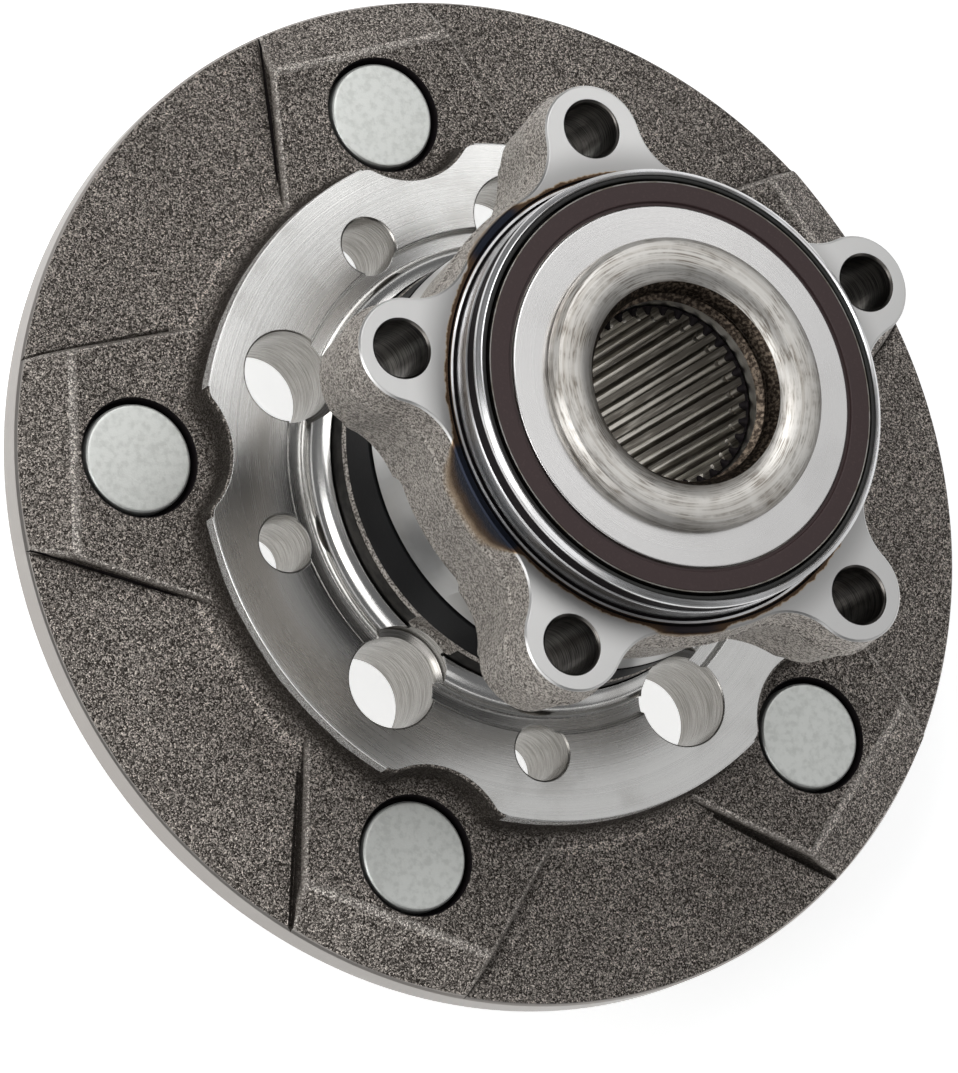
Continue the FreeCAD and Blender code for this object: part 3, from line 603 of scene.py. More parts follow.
@dataclass(frozen=True)
class TurnedSteel:
    """Steel with the fine round marks of a lathe tool, stained in clouds and scuffed where asked."""

    name: str
    color: Color = (0.66, 0.655, 0.64)
    stain: Color = (0.40, 0.385, 0.36)
    roughness: float = 0.26
    pitch: float = 0.24
    marks: float = 0.006
    grain: float = 0.75
    edge: float = 0.25
    cloud: float = 14.0
    stained: float = 0.6
    streaky: float = 0.0
    scuffed: float = 0.0
    scuff: Color = (0.17, 0.14, 0.11)
    scuff_width: float = 0.26
    scuff_patch: float = 7.0

    def build(self) -> Material:
        """The material."""
        recipe = Recipe(self.name)
        fine = recipe.streaks(self.pitch, 90.0, self.pitch)
        broad = recipe.streaks(self.pitch * 4.0, 60.0, self.pitch * 4.0)
        clouds = recipe.noise(self.cloud, 3.0)
        shade = recipe.times(recipe.ramp(clouds, 0.45, 0.8), self.stained)
        shade = recipe.plus(shade, recipe.times(recipe.ramp(broad, 0.46, 0.72), self.streaky))
        color = recipe.blend(shade, self.color, self.stain)
        if self.scuffed > 0.0:
            scuffs = recipe.ramp(recipe.streaks(self.scuff_width, 8.0, self.scuff_width), 0.44, 0.62)
            patches = recipe.ramp(recipe.noise(self.scuff_patch, 4.0, 0.65), 0.36, 0.64)
            share = recipe.times(recipe.times(scuffs, patches), self.scuffed)
            color = recipe.blend(share, color, self.scuff)
        low, high = self.roughness - 0.05, self.roughness + 0.06
        rough = recipe.plus(recipe.span(fine, -0.07, 0.07), recipe.span(clouds, low, high))
        height = recipe.plus(fine, recipe.times(broad, 2.0 * self.streaky))
        recipe.turned_grain(self.grain)
        normal = recipe.bump(height, self.marks, recipe.rounded(self.edge))
        return recipe.finish(color, rough, 1.0, normal)


@dataclass(frozen=True)
class DrilledSteel:
    """Wall of an upright hole, with the rings that the drill leaves."""

    name: str
    color: Color = (0.36, 0.345, 0.325)
    stain: Color = (0.23, 0.22, 0.20)
    roughness: float = 0.26
    ring: Place = (7.0, 7.0, 0.28)
    marks: float = 0.012

    def build(self) -> Material:
        """The material."""
        recipe = Recipe(self.name)
        rings = recipe.stretched(self.ring, 3.0)
        color = recipe.blend(recipe.ramp(rings, 0.38, 0.66), self.color, self.stain)
        rough = recipe.span(rings, self.roughness - 0.08, self.roughness + 0.12)
        normal = recipe.bump(rings, self.marks, recipe.rounded(0.2))
        return recipe.finish(color, rough, 1.0, normal)


@dataclass(frozen=True)
class SplineSteel:
    """Broached teeth: crests with a painted highlight, roots with painted shade, and marks along the
    axis.
    """

    name: str = "spline_steel"
    crest: Color = (0.70, 0.67, 0.61)
    root: Color = (0.14, 0.125, 0.105)
    tip: float = 16.3
    depth: float = 1.5
    mark: Place = (0.5, 0.5, 9.0)
    relief: float = 0.06

    def build(self) -> Material:
        """The material."""
        recipe = Recipe(self.name)
        marks = recipe.stretched(self.mark, 2.0)
        # Painted highlight on the crests and painted shade in the roots, by radius.
        share = recipe.ramp(recipe.radius(), self.tip - 0.1, self.tip + self.depth * 0.75)
        share = recipe.plus(share, recipe.span(marks, -0.9, 0.9), clamp=True)
        color = recipe.blend(share, self.crest, self.root)
        return recipe.finish(color, recipe.span(marks, 0.26, 0.46), 1.0, recipe.bump(marks, self.relief))


@dataclass(frozen=True)
class PlainMetal:
    """Ground, plated or pressed metal with a soft mottle."""

    name: str
    color: Color
    stain: Color
    roughness: float = 0.3
    metallic: float = 1.0
    mottle: float = 3.0
    relief: float = 0.01

    def build(self) -> Material:
        """The material."""
        recipe = Recipe(self.name)
        spots = recipe.noise(self.mottle, 4.0)
        fine = recipe.noise(0.4, 2.0)
        color = recipe.blend(recipe.ramp(spots, 0.42, 0.68), self.color, self.stain)
        rough = recipe.span(spots, self.roughness - 0.06, self.roughness + 0.08)
        normal = recipe.bump(fine, self.relief, recipe.rounded(0.2))
        return recipe.finish(color, rough, self.metallic, normal)


@dataclass(frozen=True)
class Moulded:
    """Rubber or polymer with a faint grain."""

    name: str
    color: Color
    worn: Color
    roughness: float = 0.5
    speck: float = 0.8
    shine: float = 0.5

    def build(self) -> Material:
        """The material."""
        recipe = Recipe(self.name)
        recipe.shader.inputs["Specular IOR Level"].default_value = self.shine
        spots = recipe.noise(self.speck, 4.0, 0.65)
        color = recipe.blend(recipe.ramp(spots, 0.5, 0.78), self.color, self.worn)
        rough = recipe.span(spots, self.roughness - 0.08, self.roughness + 0.1)
        return recipe.finish(color, rough, 0.0, recipe.bump(spots, 0.015, recipe.rounded(0.15)))


@dataclass(frozen=True)
class TintedSteel:
    """Steel with heat tint where it meets the spigot: a thin brown line, and blue patches in valleys.

    Each patch is its angle in degrees, half its width in degrees, and its depth from 0 to 1. The tint
    starts at a radius, and is thin millimetres wide outside the patches and wide ones in them.
    """

    name: str
    color: Color = (0.64, 0.635, 0.625)
    # Painted reflection of the dark spigot wall, which the ear face takes on near the spigot.
    root: Color = (0.36, 0.355, 0.35)
    start: float = 44.5
    thin: float = 0.85
    wide: float = 8.0
    patches: tuple[tuple[float, float, float], ...] = (
        (198.0, 17.0, 1.0), (126.0, 13.0, 0.42), (262.0, 12.0, 0.30), (342.0, 9.0, 0.25),
    )
    face: float = 76.6
    straw: Color = (0.32, 0.24, 0.16)
    brown: Color = (0.070, 0.044, 0.028)
    blue: Color = (0.018, 0.021, 0.031)
    forged: bool = False
    forged_dark: Color = (0.12, 0.108, 0.096)
    forged_light: Color = (0.56, 0.52, 0.475)

    def tint(self, recipe: Recipe, base: Socket, away: Socket) -> Socket:
        """Lays the colours of the heat over the steel.

        Args:
            recipe: Material that is being made.
            base: Colour of the cold steel.
            away: Distance in millimetres from where the tint starts.

        Returns:
            The colour with the tint.
        """
        heat: object = 0.0
        for degrees, half, strength in self.patches:
            lead = recipe.math("COSINE", recipe.minus(recipe.angle(), math.radians(degrees)))
            near = recipe.ramp(lead, math.cos(math.radians(half)), math.cos(math.radians(half * 0.3)))
            heat = recipe.plus(heat, recipe.times(near, strength))
        wander = recipe.times(recipe.minus(recipe.noise(2.6, 4.0, 0.6), 0.5), 1.5)
        depth = recipe.over(recipe.plus(away, wander), recipe.span(heat, self.thin, self.wide))
        straw = recipe.blend(recipe.ramp(depth, 1.1, 0.70), base, self.straw)
        brown = recipe.blend(recipe.ramp(depth, 0.84, 0.58), straw, self.brown)
        hot = recipe.times(recipe.ramp(depth, 0.60, 0.34), recipe.ramp(heat, 0.12, 0.4))
        return recipe.blend(hot, brown, self.blue)

    def build(self) -> Material:
        """The material."""
        recipe = Recipe(self.name)
        below = recipe.times(recipe.minus(self.face, recipe.height()), 0.75)
        away = recipe.plus(recipe.minus(recipe.radius(), self.start), below)
        if self.forged:
            grain, hollow = recipe.grains(0.30)
            lumps = recipe.noise(2.4, 3.0)
            base = recipe.blend(recipe.ramp(grain, 0.0, 1.0), self.forged_dark, self.forged_light)
            height = recipe.plus(recipe.minus(grain, hollow), lumps)
            rough = recipe.span(grain, 0.60, 0.38)
            normal = recipe.bump(height, 0.15, recipe.rounded(0.6))
        else:
            fine = recipe.streaks(0.3, 60.0, 0.3)
            # Painted reflection of the dark spigot wall: the cold steel darkens towards the spigot.
            base = recipe.blend(recipe.ramp(away, 8.0, 0.5), self.color, self.root)
            rough = recipe.span(fine, 0.33, 0.41)
            normal = recipe.bump(fine, 0.0015, recipe.rounded(0.2))
        recipe.turned_grain(0.0 if self.forged else 0.35)
        return recipe.finish(self.tint(recipe, base, away), rough, 0.85 if self.forged else 1.0, normal)


def steel_finishes() -> list[Material]:
    """The materials of the two forgings, in the order of Skin."""
    made: dict[Skin, Material] = {
        Skin.FORGED: ForgedSteel().build(),
        Skin.TURNED_FACE: TurnedSteel("turned_face_steel").build(),
        Skin.TURNED_WALL: TurnedSteel("turned_wall_steel", roughness=0.32).build(),
        Skin.DRILLED: DrilledSteel("drilled_steel").build(),
        Skin.POLISHED: TurnedSteel(
            "ridge_steel", color=(0.74, 0.73, 0.71), roughness=0.20, marks=0.002
        ).build(),
        # Near-black painted shade for the insides of holes, grooves and creases.
        Skin.RECESS: Moulded(
            "recess_painted_shade", (0.010, 0.008, 0.009), (0.024, 0.020, 0.018), 0.6, shine=0.08
        ).build(),
        Skin.RIM: TurnedSteel("rim_steel", color=(0.335, 0.313, 0.293), roughness=0.36).build(),
        Skin.COLLAR: TurnedSteel(
            "collar_steel", color=(0.71, 0.69, 0.655), stain=(0.43, 0.39, 0.34), roughness=0.46,
            pitch=0.17, marks=0.006, grain=0.1, streaky=0.4, scuffed=0.75,
        ).build(),
        Skin.THROAT: PlainMetal(
            "throat_steel", (0.036, 0.027, 0.021), (0.22, 0.175, 0.135), 0.42, mottle=0.7, relief=0.05
        ).build(),
        Skin.EAR_FACE: TintedSteel("ear_face_steel").build(),
        Skin.SPIGOT: TurnedSteel(
            "spigot_steel", color=(0.66, 0.66, 0.665), roughness=0.28, grain=0.2, edge=0.1, scuffed=0.3
        ).build(),
        Skin.GROUND: TurnedSteel(
            "ground_steel", color=(0.64, 0.64, 0.64), roughness=0.34, marks=0.002
        ).build(),
        Skin.FORGED_EAR: TintedSteel("forged_ear_steel", forged=True).build(),
        Skin.SEAT_WALL: ForgedSteel("seat_wall_steel", bright_from=16.0, rounding=0.3).build(),
        # Near-black painted shade on the shoulder in the recess behind the ridge.
        Skin.SHOULDER: PlainMetal(
            "shoulder_shade", (0.030, 0.027, 0.024), (0.012, 0.011, 0.010), 0.45
        ).build(),
        # Darker than the other drilled walls: painted shade inside the ear holes.
        Skin.BOLT_HOLE: DrilledSteel(
            "bolt_hole_steel", (0.15, 0.14, 0.13), (0.025, 0.023, 0.021), 0.30
        ).build(),
        Skin.SPLINE: SplineSteel().build(),
        # Lighter copy of the forged steel: a painted highlight on the pads' bevelled edges.
        Skin.WORN_EDGE: ForgedSteel(
            "highlight_edge_steel", dark=(0.17, 0.152, 0.135), light=(1.0, 0.93, 0.86)
        ).build(),
    }
    return [made[skin] for skin in Skin]


# Sub-assemblies


@dataclass(frozen=True)
class Bearing:
    """Sizes that the hub, the rings and the seals share."""

    ball_circle: float = 34.6
    race: float = 6.1
    outboard_row: float = 46.0
    inboard_row: float = 70.0
    stem: float = 24.5
    stem_end: float = 85.75
    low_land: float = 29.6
    high_land: float = 32.8
    inner_ring_start: float = 54.5
    nose: float = 42.8
    nose_start: float = 30.0
    outer_land: float = 39.2
    outboard_bore: float = 40.2
    outboard_bore_end: float = 37.6
    inboard_bore: float = 41.6
    inboard_bore_start: float = 78.2

    def groove(self, row: float, start: float, end: float) -> list[Corner]:
        """Section of the ball groove of one row, between two angles in degrees."""
        return arc((self.ball_circle, row), self.race, start, end, 10)


BEARING = Bearing()


@dataclass
class Hub:
    """Forged hub with its flange, stem, spline and rolled collar."""

    rim: float = 104.0
    rim_thickness: float = 6.5
    seat: float = 69.8
    seat_bore: float = 52.0
    seat_height: float = 18.9
    seat_root: float = 5.2
    forging_height: float = 9.4
    pad_height: float = 11.1
    pad_chord: float = 93.5
    pad_near: float = 62.0
    pad_half_width: float = 29.0
    pad_narrowing: float = 0.255
    pad_draft: float = 1.3
    stud_circle: float = 80.0
    stud_count: int = 5
    rest_turn: float = 95.53
    counterbore: float = 11.95
    counterbore_depth: float = 4.2
    stud_hole: float = 7.35
    scallop: float = 16.0
    scallop_round: float = 3.5
    lathe_end: float = 16.2
    crease_depth: float = 0.75
    crease_foot: float = 0.12
    crease_mouth: float = 0.62
    crease_hollow: float = 3.1
    crease_fall: float = 0.085
    screw_circle: float = 55.75
    screw_hole: float = 5.75
    screw_lead: float = 18.0
    access_circle: float = 54.0
    access_hole: float = 9.15
    access_lead: float = 54.0
    pocket_circle: float = 52.2
    pocket: float = 9.5
    shoulder: float = 44.6
    shoulder_height: float = 28.9
    shoulder_pocket: tuple[float, float] = (23.7, 31.0)
    ridge: float = 48.5
    ridge_middle: tuple[float, float] = (43.4, 17.9)
    ridge_round: float = 5.35
    ridge_lip: float = 44.9
    ridge_top: float = 23.1
    pilot: float = 32.5
    pilot_height: float = 14.0
    nut_pocket: float = 25.0
    nut_seat: float = 6.0
    collar: float = 28.65
    collar_top: float = 89.3
    collar_opening: float = 20.9
    throat: float = 18.4
    undercut: float = 19.4
    land: float = 17.95
    spline_end: float = 78.5
    spline_root: float = 17.8
    spline_tip: float = 16.3
    spline_teeth: int = 33
    clip_height: float = 74.0

    def outline(self) -> list[Corner]:
        """Section of the forging, as turned."""
        stem, stem_end = BEARING.stem, BEARING.stem_end
        return [
            (self.nut_pocket, -self.pilot_height, 0.8),
            (self.pilot, -self.pilot_height, 1.5),
            (self.pilot, 0.0),
            (self.rim, 0.0, 0.5),
            (self.rim, self.rim_thickness, 0.5),
            *[(self.seat + away, height) for away, height in reversed(self.root(self.forging_height))],
            (self.seat, self.seat_height, 0.45),
            (self.seat_bore, self.seat_height, 0.35),
            (self.seat_bore - 0.5, self.seat_height - 1.4, 0.25),
            (self.ridge + 0.2, self.seat_height - 1.4, 0.2),
            *arc(self.ridge_middle, self.ridge_round, 4.0, 73.0, 12),
            (self.ridge_lip, self.ridge_top),
            (self.ridge_lip - 0.1, self.ridge_top - 0.8),
            (self.shoulder, self.ridge_top - 0.9, 0.3),
            (self.shoulder, self.shoulder_height - 1.5),
            (self.shoulder, self.shoulder_height, 1.0),
            (BEARING.high_land, self.shoulder_height, 0.9),
            *BEARING.groove(BEARING.outboard_row, 252.8, 145.1),
            (BEARING.low_land, BEARING.inner_ring_start),
            (stem, BEARING.inner_ring_start),
            (stem, stem_end),
            (28.2, stem_end),
            (self.collar, stem_end + 0.7, 0.4),
            (self.collar, self.collar_top, 2.3),
            (self.collar_opening + 0.7, self.collar_top, 2.1),
            (self.throat + 0.8, stem_end + 0.6, 1.2),
            (self.throat, 84.4, 0.3),
            (self.undercut, 83.6, 0.3),
            (self.undercut, 82.3, 0.3),
            (self.land, 81.3),
            (self.land, self.nut_seat),
            (self.nut_pocket, self.nut_seat, 0.5),
        ]

    def root(self, floor: float) -> list[tuple[float, float]]:
        """Hollow at the foot of the seat's wall.

        Args:
            floor: Height at which it ends.

        Returns:
            (distance from the wall, height) pairs from the wall down to the floor.
        """
        size = self.seat_root
        middle = self.forging_height + size
        last = math.degrees(math.asin(min(1.0, (middle - floor) / size)))
        steps = 8
        points = []
        for index in range(steps + 1):
            turn = math.radians(last * index / steps)
            points.append((size * (1.0 - math.cos(turn)), middle - size * math.sin(turn)))
        return points

    def base_skin(self, middle: Vector, normal: Vector) -> Skin | None:
        """Surface of a face of the turned forging."""
        radius = middle.xy.length
        height = middle.z
        if height < 0.02 or radius < self.nut_pocket and height < self.spline_end:
            return Skin.TURNED_WALL
        if radius > self.rim - 0.45:
            return Skin.RIM
        if self.seat_bore - 3.0 < radius < self.seat + 0.1 and height > self.seat_height - 1.45:
            return Skin.TURNED_FACE
        if self.seat - 0.1 < radius < self.seat + 0.1 and height > self.forging_height + self.seat_root:
            return Skin.SEAT_WALL
        if self.ridge_lip - 0.05 < radius < self.ridge + 0.3 and height > self.seat_height - 1.5:
            return Skin.POLISHED
        if BEARING.stem_end - 0.2 < height:
            return Skin.COLLAR if radius > self.throat + 1.6 else Skin.THROAT
        if radius < self.undercut + 0.2:
            return Skin.THROAT
        if radius < self.shoulder - 0.95 and height > self.ridge_top:
            return Skin.GROUND
        # The shoulder behind the ridge is painted near-black as shade.
        if radius < self.ridge_lip and height > self.ridge_top - 1.0:
            return Skin.SHOULDER if height < self.shoulder_height - 0.9 else Skin.FORGED_EAR
        return Skin.FORGED

    def pad(self) -> Shape:
        """One stud pad, along +X: raised, tapered outwards and sloping down beyond its chord."""
        far = self.rim + 2.0
        low = self.rim_thickness * 0.4

        def rim_of_pad(spread: float) -> list[Corner]:
            near, near_half = self.pad_near, self.pad_half_width + spread
            far_half = near_half - self.pad_narrowing * (far - near)
            return [(near, -near_half), (far, -far_half), (far, far_half), (near, near_half)]

        shape = Shape.stacked([(low, rim_of_pad(self.pad_draft)), (self.pad_height, rim_of_pad(0.0))])
        drop = self.pad_height - self.rim_thickness
        run = self.rim - self.pad_chord
        cut = bmesh.ops.bisect_plane(
            shape.bm, geom=shape.bm.verts[:] + shape.bm.edges[:] + shape.bm.faces[:],
            plane_co=(self.pad_chord, 0.0, self.pad_height), plane_no=(drop, 0.0, run), clear_outer=True,
        )
        open_edges = [item for item in cut["geom_cut"] if isinstance(item, bmesh.types.BMEdge)]
        bmesh.ops.contextual_create(shape.bm, geom=open_edges)
        top_edges = [
            edge for edge in shape.bm.edges
            if min(vert.co.z for vert in edge.verts) > self.rim_thickness - 1.0
            and max(vert.co.z for vert in edge.verts) > self.forging_height
        ]
        # The bevelled top edges get a painted highlight.
        bmesh.ops.bevel(
            shape.bm, geom=top_edges, offset=0.95, offset_type="OFFSET", segments=3, profile=0.5,
            affect="EDGES", material=Skin.WORN_EDGE,
        )
        return shape.tidy()

    def crease_tool(self) -> Shape:
        """Cutters of the creases that the dies leave along both sides of one pad, along +X."""
        near, far = self.seat + 2.4, self.rim - 1.5
        bottom, top = self.forging_height - self.crease_depth, self.forging_height + 1.1

        def strip(width: float, side: float, fade: float) -> list[Corner]:
            start, end = (
                self.pad_half_width + 0.25 - self.pad_narrowing * (x - self.pad_near)
                for x in (near, far)
            )
            corners = [(near, start), (far, end), (far, end + width * fade), (near, start + width)]
            return [(x, y * side) for x, y in corners]

        sides = []
        # The narrow side of the crease is painted near-black as shade; the wide side keeps the forged
        # finish.
        for side, mouth, fade, skin in (
            (1.0, self.crease_mouth, 0.6, Skin.RECESS), (-1.0, self.crease_hollow, 1.1, Skin.FORGED),
        ):
            levels = [(bottom, strip(self.crease_foot, side, 1.0)), (top, strip(mouth, side, fade))]
            sides.append(Shape.stacked(levels, skin))
        slope = Matrix.Identity(4)
        slope[2][0] = -self.crease_fall
        slope[2][3] = self.crease_fall * near
        for shape in sides:
            bmesh.ops.transform(shape.bm, matrix=slope, verts=shape.bm.verts[:])
        return sides[0].joined(sides[1:])

    def scallop_tool(self) -> Shape:
        """Cutter of one scallop in the seat's wall, along +X, with rounded horns."""
        inner = self.seat - self.scallop_round
        outer = self.scallop + self.scallop_round
        square = inner * inner + self.stud_circle**2 - outer * outer
        lead = math.degrees(math.acos(square / (2.0 * inner * self.stud_circle)))
        horn = polar(inner, lead)
        back = math.degrees(math.atan2(horn.y, horn.x - self.stud_circle))

        def plan(spread: float) -> list[Corner]:
            ease = self.scallop_round - spread
            upper = arc(horn, ease, lead, back - 180.0, 8)
            hollow = arc((self.stud_circle, 0.0), self.scallop + spread, back, 360.0 - back, 40)
            lower = [(x, -y) for x, y in reversed(upper)]
            start = polar(self.stud_circle, lead)
            return [(start.x, start.y), *upper, *hollow[1:-1], *lower, (start.x, -start.y)]

        top = self.seat_height
        foot = [(height, plan(-away)) for away, height in reversed(self.root(self.pad_height + 0.02))]
        return Shape.stacked([
            *foot, (self.lathe_end, plan(0.0)), (top - 0.45, plan(0.0)), (top + 1.0, plan(1.45)),
        ])

    def stud_tool(self) -> Shape:
        """Cutter of one counterbore and stud hole, along +X."""
        hole, bore, top = self.stud_hole, self.counterbore, self.pad_height
        seat = top - self.counterbore_depth
        # The counterbore and hole walls are painted near-black as shade.
        return Shape.turned([
            (0.0, -2.0), (hole + 1.0, -2.0), (hole + 1.0, -0.5), (hole, 0.5), (hole, seat),
            (bore, seat), (bore, top - 0.2), (bore + 0.5, top + 0.3), (bore + 0.5, top + 1.0),
            (0.0, top + 1.0),
        ], HEAD_STEPS, (self.stud_circle, 0.0), Skin.RECESS)

    def hole_tool(self, circle: float, radius: float, top: float, flare: float) -> Shape:
        """Cutter of a drilled hole, along +X, with its edge eased by the flare at both ends."""
        mouth = radius + flare + 1.0
        return Shape.turned([
            (0.0, -1.0), (mouth, -1.0), (radius, flare), (radius, top - flare),
            (mouth, top + 1.0), (mouth, top + 6.0), (0.0, top + 6.0),
        ], HOLE_STEPS, (circle, 0.0), Skin.DRILLED)

    def pocket_tool(self) -> Shape:
        """Cutter of a socket's clearance in the shoulder, along +X."""
        low, high = self.shoulder_pocket
        return Shape.turned([
            (0.0, low), (self.pocket, low, 0.8), (self.pocket, high), (0.0, high),
        ], HOLE_STEPS, (self.pocket_circle, 0.0), Skin.FORGED_EAR)

    def rim_trim(self) -> Shape:
        """Ring that trims the pads to the flange's edge."""
        edge, rim = 0.5, self.rim
        return Shape.turned([
            (rim - edge, self.rim_thickness + edge * 0.3), (rim, self.rim_thickness - edge),
            (rim, -3.0), (rim + 9.0, -3.0), (rim + 9.0, 20.0), (rim - edge, 20.0),
        ], skin=Skin.RIM)

    def forging(self) -> Shape:
        """The whole forging with everything cut in it."""
        count, studs = self.stud_count, self.rest_turn
        shape = Shape.turned(self.outline()).dressed(self.base_skin)
        shape.merged(self.pad().repeated(count, studs))
        shape.cut(self.rim_trim())
        for tool in (self.crease_tool, self.scallop_tool, self.stud_tool):
            shape.cut(tool().repeated(count, studs))
        shape.cut(self.pocket_tool().repeated(count, studs + self.access_lead))
        screw = self.hole_tool(self.screw_circle, self.screw_hole, self.seat_height, 0.35)
        access = self.hole_tool(self.access_circle, self.access_hole, self.seat_height, 0.25)
        screws = screw.repeated(count, studs + self.screw_lead)
        return shape.cut(screws.joined([access.repeated(count, studs + self.access_lead)]))

    def spline(self) -> Shape:
        """Internal teeth, with the clip groove across them and eased ends."""
        wave = (1.0, 1.0, 1.0, 0.96, 0.5, 0.08, 0.0, 0.0, 0.08, 0.5, 0.96, 1.0)
        steps = self.spline_teeth * len(wave)
        depth = self.spline_root - self.spline_tip
        levels = [
            (self.nut_seat, depth), (self.nut_seat + 1.2, 0.0),
            (self.clip_height - 0.65, 0.0), (self.clip_height - 0.6, depth * 0.6),
            (self.clip_height + 0.6, depth * 0.6), (self.clip_height + 0.65, 0.0),
            (self.spline_end - 1.2, 0.0), (self.spline_end, depth * 0.95),
        ]
        shape = Shape()
        bm = shape.bm
        loops = []
        for height, floor in levels:
            verts = bmesh.ops.create_circle(bm, cap_ends=False, radius=1.0, segments=steps)["verts"]
            for index, vert in enumerate(verts):
                tooth = self.spline_root - depth * (1.0 - wave[index % len(wave)])
                radius = max(tooth, self.spline_tip + floor)
                vert.co = Vector((vert.co.x * radius, vert.co.y * radius, height))
            loops.append({edge for vert in verts for edge in vert.link_edges})
        for below, above in zip(loops, loops[1:]):
            bmesh.ops.bridge_loops(bm, edges=list(below | above))
        for face in bm.faces:
            # The eased ends are painted near-black as shade.
            at_end = face.calc_center_median().z > self.spline_end - 1.2
            face.material_index = Skin.RECESS if at_end else Skin.SPLINE
            if face.normal.dot(face.calc_center_median().xy.to_3d()) > 0.0:
                face.normal_flip()
        return shape

    def build(self, steels: Sequence[Material]) -> None:
        """Makes the pieces that stand for the hub."""
        self.forging().piece("hub_forging", steels, "hub", "hub_steel", ["hub"])
        self.spline().piece("hub_spline", steels, "hub", "hub_steel", sharp=35.0)


@dataclass
class OuterRing:
    """Outer ring with bolt ears and spigot."""

    nose_end: float = 40.4
    ring: float = 44.3
    ear_face: float = 76.6
    parting: float = 69.0
    underside: float = 47.0
    spigot: float = 43.0
    spigot_groove: float = 42.6
    spigot_foot: float = 42.4
    end: float = 85.85
    draft_up: float = 4.0
    draft_down: float = 6.5
    underside_slope: float = 27.5
    core: float = 43.97
    relief: tuple[float, float] = (44.15, 44.6)
    ear_count: int = 5
    ear_turn: float = 90.0
    ear_distance: float = 52.6
    ear_radius: float = 10.7
    ear_blend: float = 12.0
    valley: float = 46.5
    ear_hole: float = 5.5
    bolt_circle: float = 54.0
    spot_face: float = 8.7
    spot_height: float = 54.5
    flash: float = 0.3

    def ears_outline(self, spread: float) -> list[Corner]:
        """Outline of the ears, offset outwards."""
        far = self.valley + self.ear_blend
        near = self.ear_radius + self.ear_blend
        square = far * far + self.ear_distance**2 - near * near
        lead = math.degrees(math.acos(square / (2.0 * far * self.ear_distance)))
        middle = polar(far, lead)
        back = math.degrees(math.atan2(middle.y, middle.x - self.ear_distance))
        between = 360.0 / self.ear_count
        points: list[Corner] = []
        for index in range(self.ear_count):
            turn = self.ear_turn + between * index
            ease = self.ear_blend - spread
            ear = polar(self.ear_distance, turn)
            tip = arc(ear, self.ear_radius + spread, turn - back, turn + back, 24)
            left = arc(polar(far, turn + lead), ease, turn + back - 180.0, turn + lead - 180.0, 12)
            floor = arc((0.0, 0.0), self.valley + spread, turn + lead, turn + between - lead, 14)
            right = arc(
                polar(far, turn + between - lead), ease, turn + between - lead + 180.0,
                turn + between - back + 180.0, 12,
            )
            points += tip[:-1] + left[:-1] + floor[:-1] + right[:-1]
        return points

    def ears(self) -> Shape:
        """Drafted ears with the trimmed flash of the forging dies."""
        draft_up = math.tan(math.radians(self.draft_up))
        draft_down = math.tan(math.radians(self.draft_down))
        rise = self.ear_face - self.parting
        drop = self.parting - self.underside
        levels = [
            (self.underside, -drop * draft_down),
            (self.parting - 4.0, -4.0 * draft_down),
            (self.parting - 0.9, -0.9 * draft_down),
            (self.parting - 0.55, self.flash),
            (self.parting + 0.35, self.flash),
            (self.parting + 0.7, -0.7 * draft_up),
            (self.ear_face - 0.35, -(rise - 0.35) * draft_up),
            (self.ear_face, -rise * draft_up - 0.35),
        ]
        shape = Shape.stacked([(height, self.ears_outline(spread)) for height, spread in levels])
        return shape.tidy(Skin.FORGED_EAR).dressed(self.ear_skin)

    def underside_tool(self) -> Shape:
        """Cone that slopes the undersides of the ears."""
        slope = math.tan(math.radians(self.underside_slope))
        near, far, foot = self.ring - 0.5, 70.0, self.underside - 6.0
        return Shape.turned([
            (near, self.underside - 0.5 * slope), (near, foot), (far, foot),
            (far, self.underside + (far - self.ring) * slope),
        ], PLAIN_STEPS, skin=Skin.FORGED_EAR)

    def outline(self) -> list[Corner]:
        """Section of the turned ring."""
        start, nose, face = BEARING.nose_start, BEARING.nose, self.ear_face
        land, bore = BEARING.outer_land, BEARING.outboard_bore
        return [
            (bore, start, 0.3), (nose, start, 0.3), (nose, self.nose_end, 0.3),
            (self.ring, self.nose_end, 0.5), (self.ring, face), (43.5, face), (43.4, face - 0.6),
            (self.spigot_foot, face - 0.6), (self.spigot_foot, 76.4), (self.spigot, 76.8, 0.1),
            (self.spigot, 80.95, 0.1), (self.spigot_groove, 81.35, 0.2),
            (self.spigot_groove, 83.95, 0.2), (self.spigot, 84.35, 0.1),
            (self.spigot, 84.9, 0.3), (42.0, self.end, 0.3), (41.9, self.end),
            (BEARING.inboard_bore, 85.5), (BEARING.inboard_bore, BEARING.inboard_bore_start),
            (land, BEARING.inboard_bore_start), (land, 74.1),
            *BEARING.groove(BEARING.inboard_row, 41.1, -67.9),
            *BEARING.groove(BEARING.outboard_row, 67.9, -41.1),
            (land, BEARING.outboard_bore_end), (bore, BEARING.outboard_bore_end),
        ]

    def ring_skin(self, middle: Vector, normal: Vector) -> Skin | None:
        """Surface of a face of the turned ring."""
        if middle.z <= self.ear_face - 0.7:
            return Skin.GROUND
        # The spigot's foot and groove are painted near-black as shade.
        at_foot = middle.z < self.ear_face - 0.05
        in_groove = 81.2 < middle.z < 84.1 and middle.xy.length > 42.2
        return Skin.RECESS if at_foot or in_groove else Skin.SPIGOT

